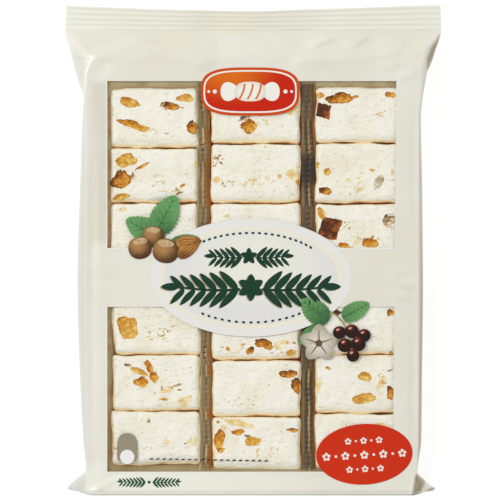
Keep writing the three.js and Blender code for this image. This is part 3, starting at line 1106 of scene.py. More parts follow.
@dataclass
class PrintShop:
    """Cuts flat shapes and lays them on the film as thin print."""

    form: PackForm
    base: float = 0.05
    ply: float = 0.035
    cell: float = 4.0

    @staticmethod
    def spot(x: float, y: float, turn: float) -> Matrix:
        """The move and turn to a place on the front."""
        return Matrix.Translation((x, y, 0)) @ Matrix.Rotation(math.radians(turn), 4, "Z")

    @staticmethod
    def oval(
        x: float,
        y: float,
        long: float,
        wide: float,
        turn: float = 0.0,
        power: float = 2.0,
        steps: int = 96,
        foot_power: float | None = None,
    ) -> bmesh.types.BMesh:
        """A filled oval, or with a higher power a rounded plaque.

        Args:
            x, y: its centre.
            long, wide: its size.
            turn: its turn in degrees.
            power: 2 for an oval, more for squarer corners.
            steps: points round it.
            foot_power: the power of its lower half, if it differs.

        Returns:
            The flat shape in mm.
        """
        mesh = bmesh.new()
        bmesh.ops.create_circle(mesh, cap_ends=True, segments=steps, radius=1.0)
        for vert in mesh.verts:
            angle = math.atan2(vert.co.y, vert.co.x)
            bow = foot_power if foot_power and vert.co.y < 0 else power
            reach = (abs(math.cos(angle)) ** bow + abs(math.sin(angle)) ** bow) ** (-1 / bow)
            vert.co = Vector((math.cos(angle) * reach * long / 2, math.sin(angle) * reach * wide / 2, 0))
        bmesh.ops.transform(mesh, matrix=PrintShop.spot(x, y, turn), verts=mesh.verts)
        return mesh

    @staticmethod
    def leaf(
        x: float,
        y: float,
        long: float,
        wide: float,
        turn: float,
        wave: float = 0.0,
    ) -> bmesh.types.BMesh:
        """A leaf with a round base and a drawn-out tip, lying from its base along its turn.

        Args:
            x, y: its base.
            long, wide: its size.
            turn: its turn in degrees.
            wave: how far the teeth of its edge stand out, as a part of its width.

        Returns:
            The flat shape in mm.
        """
        mesh = bmesh.new()
        bmesh.ops.create_circle(mesh, cap_ends=True, segments=168 if wave else 48, radius=1.0)
        for vert in mesh.verts:
            angle = math.atan2(vert.co.y, vert.co.x)
            along = (1 + math.cos(angle)) / 2
            full = abs(math.sin(angle)) ** 0.9 * (1 - along) ** 0.22 * 1.12
            ripple = 1 + wave * (along * 11 % 1 - 0.5)
            side = math.copysign(full * wide / 2 * ripple, math.sin(angle))
            vert.co = Vector((along * long, side, 0))
        bmesh.ops.transform(mesh, matrix=PrintShop.spot(x, y, turn), verts=mesh.verts)
        return mesh

    @staticmethod
    def stroke(
        points: Sequence[Sequence[float]], start: float, end: float, steps: int = 24
    ) -> bmesh.types.BMesh:
        """A line with a width, through control points of one smooth curve.

        Args:
            points: three control points: its start, the pull of its bow, its end.
            start, end: its width at both ends.
            steps: pieces along it.

        Returns:
            The flat shape in mm.
        """
        mesh = bmesh.new()
        bmesh.ops.create_grid(mesh, x_segments=steps, y_segments=1, size=1.0)
        first, pull, last = (Vector((*point, 0)) for point in points)
        for vert in mesh.verts:
            part = (vert.co.x + 1) / 2
            side = vert.co.y
            spot = first * (1 - part) ** 2 + pull * 2 * part * (1 - part) + last * part**2
            ahead = (pull - first) * (1 - part) + (last - pull) * part
            across = Vector((-ahead.y, ahead.x, 0)).normalized()
            vert.co = spot + across * side * mix(start, end, part) / 2
        return mesh

    def rosette(
        self, x: float, y: float, petals: int, long: float, wide: float, first: float
    ) -> list[bmesh.types.BMesh]:
        """Petals round a middle.

        Args:
            x, y: the middle.
            petals: how many.
            long, wide: the size of each.
            first: the turn of the first in degrees.

        Returns:
            Its flat shapes.
        """
        return [self.leaf(x, y, long, wide, first + i * 360 / petals) for i in range(petals)]

    def garland(
        self, x: float, y: float, reach: float, pairs: int, leaf: float
    ) -> list[bmesh.types.BMesh]:
        """Two laurel sprays that run out from a middle.

        Args:
            x, y: the middle.
            reach: how far each spray runs.
            pairs: leaf pairs on each.
            leaf: the length of the leaves at the middle.

        Returns:
            Its flat shapes.
        """
        shapes = []
        start, rise = leaf * 0.42, leaf * 0.1
        for side in (-1, 1):
            end = x + side * reach
            bow = ((x + side * start, y - rise), (x + side * reach / 2, y - rise * 2), (end, y))
            shapes.append(self.stroke(bow, leaf * 0.11, leaf * 0.07, 30))
            for i in range(pairs):
                part = (i + 0.25) / pairs
                spot = x + side * mix(start, reach, part)
                low = y - rise * (1 + 1.2 * part * (1 - part))
                size = leaf * mix(1.0, 0.72, part)
                for turn in (-46, 46):
                    base = turn if side > 0 else 180 - turn
                    shapes.append(self.leaf(spot, low, size, size * 0.31, base))
            last = x + side * (reach - 1)
            shapes.append(self.leaf(last, y, leaf * 0.66, leaf * 0.3, 90 - side * 90))
        return shapes

    def lay(self, ink: InkFinish, layer: int, slot: str, *shapes: bmesh.types.BMesh) -> None:
        """Cut flat shapes into small faces and lay them on the film as one piece.

        Args:
            ink: its finish, whose name the piece takes.
            layer: how many plies of print lie under it.
            slot: a material slot name; only its being given is used, so that the piece rides on the
                pack's body.
            shapes: the flat shapes in mm.
        """
        whole = joined(shapes)
        for index, normal in ((0, Vector((1, 0, 0))), (1, Vector((0, 1, 0)))):
            low = min(vert.co[index] for vert in whole.verts)
            high = max(vert.co[index] for vert in whole.verts)
            for i in range(1, int((high - low) / self.cell) + 1):
                geometry = [*whole.verts, *whole.edges, *whole.faces]
                spot = normal * (low + i * self.cell)
                bmesh.ops.bisect_plane(whole, geom=geometry, plane_co=spot, plane_no=normal, dist=1e-4)
        bmesh.ops.recalc_face_normals(whole, faces=whole.faces)
        down = [face for face in whole.faces if face.normal.z < 0]
        bmesh.ops.reverse_faces(whole, faces=down)
        for vert in whole.verts:
            vert.co.z = self.form.front(vert.co.x, vert.co.y) + self.base + layer * self.ply
        make_piece(ink.name, whole, ink.build(), slot)


@dataclass
class FrontPrint(PrintShop):
    """All print on the front: fields of colour and plain ornament, with no lettering."""

    oval_centre: tuple[float, float] = (-1.0, -13.5)
    oval_size: tuple[float, float] = (98.0, 57.4)
    badge_centre: tuple[float, float] = (-1.4, 77.2)
    badge_size: tuple[float, float] = (48.0, 23.5)
    nut_centre: tuple[float, float] = (-46.5, 6.0)
    berry_centre: tuple[float, float] = (40.5, -39.0)
    sticker_centre: tuple[float, float] = (54.2, -99.5)
    sticker_size: tuple[float, float] = (47.0, 29.6)
    sticker_turn: float = 3.0
    trim_width: float = 0.5

    def oval_label(self) -> None:
        """The big oval: a pale grey ring, a thin cream ring and a field that warms inwards."""
        x, y = self.oval_centre
        long, wide = self.oval_size
        warming = InkFinish(
            "label_field", linear(235, 234, 221), linear(226, 225, 222), (x + 2, y + 6),
            (long / 2, wide / 2), 0.25, 0.85,
        )
        rings = (
            (InkFinish("label_ring", linear(233, 232, 227)), 0.0, 0.0),
            (InkFinish("label_cream", linear(237, 233, 214)), 8.4, 7.6),
            (warming, 13.0, 11.6),
        )
        for layer, (ink, shorter, narrower) in enumerate(rings):
            self.lay(ink, layer, "print_pale", self.oval(x, y, long - shorter, wide - narrower))

    def badge(self) -> None:
        """The red and orange plaque at the head, with a wrapped sweet on it."""
        x, y = self.badge_centre
        long, wide = self.badge_size
        rim = InkFinish("badge_rim", linear(216, 98, 6), linear(208, 74, 4), (x, y), (long / 2, wide / 2))
        line = InkFinish("badge_line", linear(240, 238, 230))
        red = InkFinish(
            "badge_field", linear(220, 108, 14), linear(200, 32, 2), (x - 10, y + 9),
            (long * 0.62, wide * 0.8), 0.1, 0.9,
        )
        plates = ((rim, "print_red", 0.0), (line, "print_pale", 2.6), (red, "print_red", 4.2))
        for layer, (ink, slot, less) in enumerate(plates, 3):
            self.lay(ink, layer, slot, self.oval(x, y, long - less, wide - less, power=3.2))
        self.wrapped_sweet(x, y)

    def wrapped_sweet(self, x: float, y: float) -> None:
        """A plain sweet in a twisted wrapper, with dots beside it."""
        wings = []
        for side in (-1, 1):
            wings.append(self.leaf(x + side * 14.4, y, 9.0, 9.4, 90 + side * 90))
            for i, size in enumerate((2.0, 1.4)):
                wings.append(self.oval(x + side * (17.2 + 3.0 * i), y, size, size, steps=24))
        self.lay(InkFinish("badge_wings", linear(241, 238, 228)), 6, "print_pale", *wings)
        body = InkFinish(
            "badge_sweet", linear(242, 240, 231), linear(226, 216, 200), (x, y), (7.5, 4.8), 0.6, 1.1
        )
        self.lay(body, 7, "print_pale", self.oval(x, y, 15, 9.6, power=2.6, steps=48))
        stripes = []
        for middle in (x - 4.0, x, x + 4.0):
            points = ((middle - 1.3, y - 3.7), (middle + 1.2, y), (middle + 1.3, y + 3.7))
            stripes.append(self.stroke(points, 0.9, 0.9, 10))
        self.lay(InkFinish("badge_stripes", linear(224, 112, 32)), 8, "print_red", *stripes)

    def green_ornament(self) -> None:
        """A dark green laurel garland with a blossom, a small spray above, and dotted arcs."""
        x, y = self.oval_centre
        shapes = self.garland(x, y - 4.4, 36.5, 6, 12.6)
        shapes += self.rosette(x, y - 4.8, 6, 6.6, 4.4, 30)
        shapes += self.garland(x - 1.0, y + 10.6, 18.0, 5, 7.4)
        shapes += self.rosette(x - 1.0, y + 10.4, 5, 4.2, 2.8, 90)
        for side, count, turn_step, first in ((1, 19, 4.6, 84), (-1, 15, 5.2, 90)):
            for i in range(count):
                angle = math.radians(first * side + (i - (count - 1) / 2) * turn_step)
                spot = (x + math.cos(angle) * 39.5, y + math.sin(angle) * 21.8)
                shapes.append(self.oval(*spot, 1.7, 1.1, math.degrees(angle) - 90, steps=16))
        green = InkFinish("ornament_green", linear(24, 62, 42), mottle=0.15)
        self.lay(green, 4, "print_green", *shapes)
        edges = self.garland(x - 0.55, y - 4.75, 36.5, 6, 12.6)
        edges += self.rosette(x - 0.55, y - 5.15, 6, 6.6, 4.4, 30)
        self.lay(InkFinish("ornament_edge", linear(176, 164, 142)), 3, "print_brown", *edges)

    def leaves(
        self, name: str, blades: Sequence[tuple[float, float, float, float, float]], layer: int
    ) -> None:
        """Printed leaves with pale veins.

        Args:
            name: the picture's name.
            blades: each leaf's base x and y, length, width and turn.
            layer: how many plies of print lie under them.
        """
        ink = InkFinish(
            f"{name}_leaf", linear(58, 104, 62), linear(106, 160, 96), blades[0][:2], (14, 14),
            0.0, 1.3, 0.9,
        )
        self.lay(ink, layer, "print_green", *(self.leaf(*blade, wave=0.16) for blade in blades))
        veins = []
        for x, y, long, wide, turn in blades:
            ahead, aside = heading(turn)
            base = Vector((x, y))
            tip = base + ahead * long * 0.93
            veins.append(self.stroke((base, (base + tip) / 2, tip), 0.55, 0.15, 12))
            for i in range(1, 6):
                start = base + ahead * long * (0.12 + 0.14 * i)
                for side in (-1, 1):
                    out = start + ahead * long * 0.14 + aside * side * wide * (0.4 - 0.045 * i)
                    pull = (start + out) / 2 + ahead * long * 0.02
                    veins.append(self.stroke((start, pull, out), 0.3, 0.1, 6))
        self.lay(InkFinish(f"{name}_vein", linear(60, 104, 66)), layer + 1, "print_green", *veins)

    def nut_picture(self) -> None:
        """Two leaves with a heap of round and long nuts before them, left of the oval."""
        x, y = self.nut_centre
        blades = (
            (x + 2, y - 1, 20, 12.5, 150), (x - 1, y + 2, 21, 13.5, 62), (x + 6, y - 4, 15, 8, 14),
        )
        self.leaves("nut", blades, 4)
        round_nuts = (
            (x - 2.0, y + 0.6, 10.8, 10.2, 0), (x - 8.5, y - 5.0, 11.4, 10.8, 10),
            (x + 4.0, y - 6.4, 12.8, 12.0, -8),
        )
        for i, (nut_x, nut_y, long, wide, turn) in enumerate(round_nuts):
            shell = InkFinish(
                f"nut_shell_{i}", linear(174, 128, 78), linear(84, 54, 30),
                (nut_x - 1.4, nut_y + 1.6), (long / 2, wide / 2), 0.2, 1.25, 0.35,
            )
            shape = self.oval(nut_x, nut_y, long, wide, turn, 2.2, 48)
            self.lay(shell, 6 + 2 * i, "print_brown", shape)
            cap = InkFinish(f"nut_cap_{i}", linear(206, 176, 130), mottle=0.7)
            shape = self.oval(nut_x, nut_y + wide * 0.3, long * 0.62, wide * 0.3, turn, steps=32)
            self.lay(cap, 7 + 2 * i, "print_brown", shape)
        kernels = ((x + 10, y - 9.5, 13.5, 6.6, 38), (x + 9.0, y - 2.5, 12.5, 6.4, 4))
        ink = InkFinish(
            "nut_kernel", linear(190, 132, 66), linear(120, 74, 34), (x + 14, y - 3), (9, 7),
            0.2, 1.0, 0.6,
        )
        self.lay(ink, 12, "print_brown", *(self.leaf(*kernel) for kernel in kernels))
        lines = []
        for nut_x, nut_y, long, _, turn in kernels:
            ahead, aside = heading(turn)
            for i in (-1, 0, 1):
                start = Vector((nut_x, nut_y)) + ahead * long * 0.14 + aside * i * 1.0
                end = Vector((nut_x, nut_y)) + ahead * long * 0.82 + aside * i * 0.5
                pull = (start + end) / 2 + aside * i * 1.1
                lines.append(self.stroke((start, pull, end), 0.34, 0.16, 8))
        self.lay(InkFinish("nut_lines", linear(94, 56, 28)), 13, "print_brown", *lines)

    def berry_picture(self) -> None:
        """A truss of small dark berries, a cream blossom and leaves, right under the oval."""
        x, y = self.berry_centre
        blades = (
            (x - 4, y + 4, 17, 11.5, 140), (x + 3, y + 6, 15, 9, 28), (x - 6, y + 1, 14, 9, 212),
        )
        self.leaves("berry", blades, 4)
        twig = self.stroke(((x - 3, y + 9), (x + 6, y + 5), (x + 8, y - 12)), 0.8, 0.4)
        side_twig = self.stroke(((x + 3.5, y + 4.4), (x + 8, y + 3), (x + 13.6, y - 2)), 0.6, 0.4)
        self.lay(InkFinish("berry_twig", linear(150, 150, 96)), 6, "print_green", twig, side_twig)
        heart = (x - 8.4, y - 6.4)
        blossom = InkFinish(
            "blossom", linear(222, 214, 198), linear(170, 160, 142), heart, (9.4, 9.4), 0.15, 1.1, 0.3
        )
        self.lay(blossom, 7, "print_pale", *self.rosette(*heart, 5, 9.4, 8.2, 18))
        seeds = [self.oval(*heart, 3.4, 3.4, steps=24)]
        for petal in range(5):
            angle = math.radians(18 + petal * 72)
            tip = (heart[0] + 6.6 * math.cos(angle), heart[1] + 6.6 * math.sin(angle))
            seeds.append(self.stroke((heart, tip, tip), 0.7, 0.2, 8))
        self.lay(InkFinish("blossom_heart", linear(112, 84, 58)), 8, "print_brown", *seeds)
        berries = (
            (x + 1.6, y - 1.2, 6.4), (x + 7.6, y - 0.6, 6.8), (x + 13.6, y - 2.6, 6.4),
            (x + 4.2, y - 7.4, 7.0), (x + 10.8, y - 6.8, 7.2), (x + 8.2, y - 12.4, 6.2),
        )
        glints = []
        for i, (berry_x, berry_y, size) in enumerate(berries):
            dark = InkFinish(
                f"berry_{i}", linear(112, 44, 32), linear(44, 24, 20),
                (berry_x - 0.6, berry_y + 2.2), (size / 2, size / 2), 0.0, 0.8,
            )
            shape = self.oval(berry_x, berry_y, size, size * 0.98, steps=56)
            self.lay(dark, 8 + i, "print_brown", shape)
            glints.append(self.oval(berry_x - 0.8, berry_y + size * 0.22, 1.7, 1.1, 20, steps=16))
        self.lay(InkFinish("berry_glints", linear(214, 160, 138)), 14, "print_brown", *glints)

    def sticker(self) -> None:
        """The red oval at the foot, with three rows of round-petalled blossoms and dots."""
        x, y = self.sticker_centre
        long, wide = self.sticker_size
        red = InkFinish(
            "sticker", linear(207, 48, 9), linear(205, 46, 8), (x - 6, y - 4), (long / 2, wide / 2),
            0.3, 1.2,
        )
        self.lay(red, 4, "print_red", self.oval(x, y, long, wide, self.sticker_turn))
        shapes = []
        ahead, aside = heading(self.sticker_turn)
        for shift, count, size in ((6.6, 5, 3.6), (-0.4, 9, 4.4), (-7.2, 5, 3.6)):
            for i in range(count):
                middle = Vector((x, y)) + ahead * (i - (count - 1) / 2) * size * 1.05 + aside * shift
                if i % 2:
                    shapes.append(self.oval(*middle, size * 0.3, size * 0.3, steps=16))
                    continue
                for petal in range(5):
                    out, _ = heading(90 + petal * 72 + self.sticker_turn)
                    spot = middle + out * size * 0.3
                    shapes.append(self.oval(*spot, size * 0.34, size * 0.34, steps=16))
        self.lay(InkFinish("sticker_blossoms", linear(240, 232, 222)), 5, "print_pale", *shapes)

    def small_print(self) -> None:
        """The grey portion tab with its white disc, and two small ornaments at the foot."""
        tab = self.oval(-61.3, -96.2, 9.9, 14.0, power=2.5, steps=64, foot_power=7)
        self.lay(InkFinish("portion_tab", linear(152, 144, 121)), 0, "print_pale", tab)
        disc = self.oval(-61.3, -100.8, 7.0, 7.0, steps=40)
        self.lay(InkFinish("portion_disc", linear(238, 238, 236)), 1, "print_pale", disc)
        shapes = self.garland(-50.6, -112.8, 14.2, 7, 3.7)
        shapes.append(self.oval(-50.6, -113.1, 1.5, 1.5, steps=20))
        self.lay(InkFinish("foot_ornament", linear(38, 84, 58)), 0, "print_green", *shapes)
        dashes = [
            self.oval(-49.5 + i * 3.1, -101.8 - 0.05 * i, 2.0, 0.75, 12, steps=14) for i in range(19)
        ]
        self.lay(InkFinish("small_ornament", linear(62, 54, 44)), 0, "print_brown", *dashes)

    def window_trim(self, windows: Sequence[Window]) -> None:
        """The thin white line along the left and foot sides of each window."""
        shapes = []
        for window in windows:
            side, foot = window.left - self.trim_width / 2, window.low - self.trim_width / 2
            middle = (window.low + window.high) / 2
            for points in (
                ((side, window.low), (side, middle), (side, window.high)),
                ((window.left, foot), (0, foot), (window.right_low, foot)),
            ):
                shapes.append(self.stroke(points, self.trim_width, self.trim_width, 40))
        self.lay(InkFinish("window_trim", linear(240, 240, 234)), 0, "print_pale", *shapes)

    def build(self, windows: Sequence[Window]) -> None:
        """Lay all of the print."""
        self.window_trim(windows)
        self.oval_label()
        self.badge()
        self.green_ornament()
        self.nut_picture()
        self.berry_picture()
        self.sticker()
        self.small_print()


@dataclass
class Tray:
    """The clear tray: sloping walls, a floor and two ridges between the columns."""

    rim: float = 16.4
    floor: float = 5.2
    outer: tuple[float, float, float, float] = (-75.0, 78.0, -111.4, 87.4)
    left: tuple[float, float] = (-72.8, -60.0)
    right: tuple[float, float] = (78.5, 70.0)
    head: tuple[float, float] = (83.8, 69.0)
    foot: tuple[float, float] = (-109.4, -97.0)
    bridge_middle: float = -13.5
    bridge_side: tuple[float, float] = (8.5, 11.5)
    ridges: tuple[tuple[float, float, float], ...] = ((-24.4, -22.9, 7.4), (27.0, 27.0, 7.6))
    ridge_top: float = 14.9
    ridge_foot: float = 12.5
    pitch: float = 2.6

    def wall_height(self, x: float, y: float) -> float:
        """The height of the tray's outer wall or floor here."""
        depth = smoothstep(*self.left, x) * smoothstep(*self.foot, y)
        depth *= smoothstep(*self.right, x) * smoothstep(*self.head, y)
        depth *= smoothstep(*self.bridge_side, abs(y - self.bridge_middle))
        sway = 0.3 * noise.noise(Vector((x / 9, y / 9, 4.0)))
        return mix(self.rim, self.floor, depth) + sway * depth * (1 - depth) * 4

    def shell(self) -> None:
        """The outer wall and floor."""
        mesh = bmesh.new()
        bmesh.ops.create_grid(mesh, x_segments=190, y_segments=240, size=1.0)
        for vert in mesh.verts:
            x = mix(self.outer[0], self.outer[1], (vert.co.x + 1) / 2)
            y = mix(self.outer[2], self.outer[3], (vert.co.y + 1) / 2)
            vert.co = Vector((x, y, self.wall_height(x, y)))
        make_piece("tray_wall", mesh, TrayFinish().build(), "tray_plastic")

    def ridge(
        self, index: int, finish: RidgeFinish, patches: Sequence[tuple[float, float, float]]
    ) -> None:
        """One ridge: a round-topped wall with a fine ladder of cross ribs.

        Args:
            index: which ridge.
            finish: its finish.
            patches: where its film looks dark, each as (y, half length, strength).
        """
        upper, lower, width = self.ridges[index]
        mesh = bmesh.new()
        place = mesh.verts.layers.float.new("across")
        shade = mesh.verts.layers.float.new("shade")
        bmesh.ops.create_grid(mesh, x_segments=24, y_segments=600, size=1.0)
        for vert in mesh.verts:
            side = vert.co.x
            y = mix(self.outer[2] + 0.6, self.outer[3] - 0.6, (vert.co.y + 1) / 2)
            ladder = math.sin(2 * math.pi * y / self.pitch)
            fold = noise.noise(Vector((index * 7.0, y / 14, 2.0)))
            half = width / 2 * (1 + 0.12 * fold)
            crown = (1 - abs(side) ** 4) ** (1 / 4)
            middle = mix(lower, upper, smoothstep(-20, -4, y)) + 0.4 * fold
            furrow = math.exp(-(((side - 0.25 * fold) / 0.16) ** 2))
            height = mix(self.ridge_foot, self.ridge_top, crown) - 0.7 * furrow
            height += 0.14 * ladder * math.exp(-((side / 0.5) ** 2)) + 0.35 * fold
            vert[place] = (side + 1) / 2
            # painted shade in the ladder's grooves, in spells along the ridge
            dash = smoothstep(0.5, 0.9, -ladder) * math.exp(-(((side + 0.12) / 0.22) ** 2))
            spell = smoothstep(0.0, 0.25, noise.noise(Vector((index * 5.0, y / 11, 8.0))))
            dark = sum(power * math.exp(-(((y - at) / reach) ** 4)) for at, reach, power in patches)
            vert[shade] = 0.15 + 0.75 * dash * spell + dark
            wall = self.wall_height(middle + half * side, y) + 0.1 + 0.35 * crown
            vert.co = Vector((middle + half * side, y, max(height, wall)))
        make_piece(f"tray_ridge_{index + 1}", mesh, finish.build(), "tray_plastic")

    def build(self) -> None:
        """Make the tray."""
        self.shell()
        first = RidgeFinish("tray_ridge_grey", RidgeFinish.ramp(
            (0.0, 160, 112, 54), (0.08, 136, 110, 68), (0.18, 176, 158, 114),
            (0.3, 120, 98, 64), (0.42, 146, 126, 86), (0.49, 216, 198, 154),
            (0.56, 140, 98, 44), (0.74, 148, 96, 34), (0.9, 146, 80, 18),
            (1.0, 186, 124, 52),
        ), RidgeFinish.ramp(
            (0.0, 168, 122, 62), (0.1, 196, 178, 134), (0.2, 134, 114, 78),
            (0.36, 150, 130, 92), (0.5, 128, 108, 74), (0.66, 146, 124, 84),
            (0.8, 118, 90, 54), (0.9, 150, 96, 40), (1.0, 186, 134, 66),
        ))
        second = RidgeFinish("tray_ridge_brown", RidgeFinish.ramp(
            (0.0, 168, 108, 44), (0.08, 102, 80, 48), (0.2, 128, 110, 76),
            (0.3, 86, 68, 44), (0.44, 92, 74, 50), (0.53, 186, 166, 122),
            (0.6, 98, 68, 36), (0.72, 78, 56, 32), (0.86, 132, 86, 36),
            (1.0, 184, 134, 66),
        ), RidgeFinish.ramp(
            (0.0, 158, 108, 48), (0.1, 112, 92, 62), (0.24, 96, 78, 54),
            (0.4, 116, 98, 70), (0.55, 90, 72, 48), (0.7, 112, 90, 60),
            (0.82, 92, 64, 32), (0.92, 140, 98, 48), (1.0, 190, 144, 78),
        ))
        self.ridge(0, first, ((34.0, 16.0, 0.15), (-62.0, 8.0, 0.06)))
        self.ridge(1, second, ((38.5, 8.5, 0.75), (6.0, 4.0, 0.2), (-66.0, 12.0, 0.15)))


class Morsel(Enum):
    """The kinds of nut and fruit in the bars, and the painted shade of hollows."""

    GOLDEN = "golden"
    BROWN = "brown"
    ORANGE = "orange"
    PALE = "pale"
    FRUIT = "fruit"
    GREY = "grey"
    # painted shade of small hollows and crevices beside the nuts
    HOLLOW_SHADE = "hollow"
    SPECK = "speck"


@dataclass(frozen=True)
class Bit:
    """One cut nut or piece of fruit, or the painted shade of a hollow, seen from above."""

    kind: Morsel
    x: float
    y: float
    long: float
    wide: float
    turn: float = 0.0


@dataclass(frozen=True)
class Cluster:
    """A patch of crumbs and the painted shade of small hollows around a torn place in a cut face."""

    x: float
    y: float
    long: float
    wide: float
    turn: float
    count: int
    kinds: tuple[Morsel, ...]


@dataclass(frozen=True)
class Look:
    """How one kind of morsel is made: its finish, its slot and its form. Side sets its painted light
    and shade, light on the lower right and dark on the upper left; rim sets its painted shade round
    the rim, or painted light below 0.
    """

    finish: MorselFinish
    lift: float = 0.25
    jag: float = 0.3
    side: float = 0.3
    rim: float = 0.3
    sit: float = -0.03
    slot: str = "nut"
    corners: int = 0


@dataclass(frozen=True)
class Bar:
    """One bar: its sides, how far its lower edge slopes off, its left side draws in and its
    lower right corner drops."""

    column: int
    row: int
    left: float
    right: float
    low: float
    high: float
    lip: float
    draw_in: float = 0.0
    drop: float = 0.0

    @property
    def middle(self) -> tuple[float, float]:
        """Its middle seen from above."""
        return ((self.left + self.right) / 2, (self.low + self.high) / 2)


GOLDEN, BROWN, ORANGE, PALE, FRUIT, GREY, HOLLOW_SHADE, SPECK = Morsel


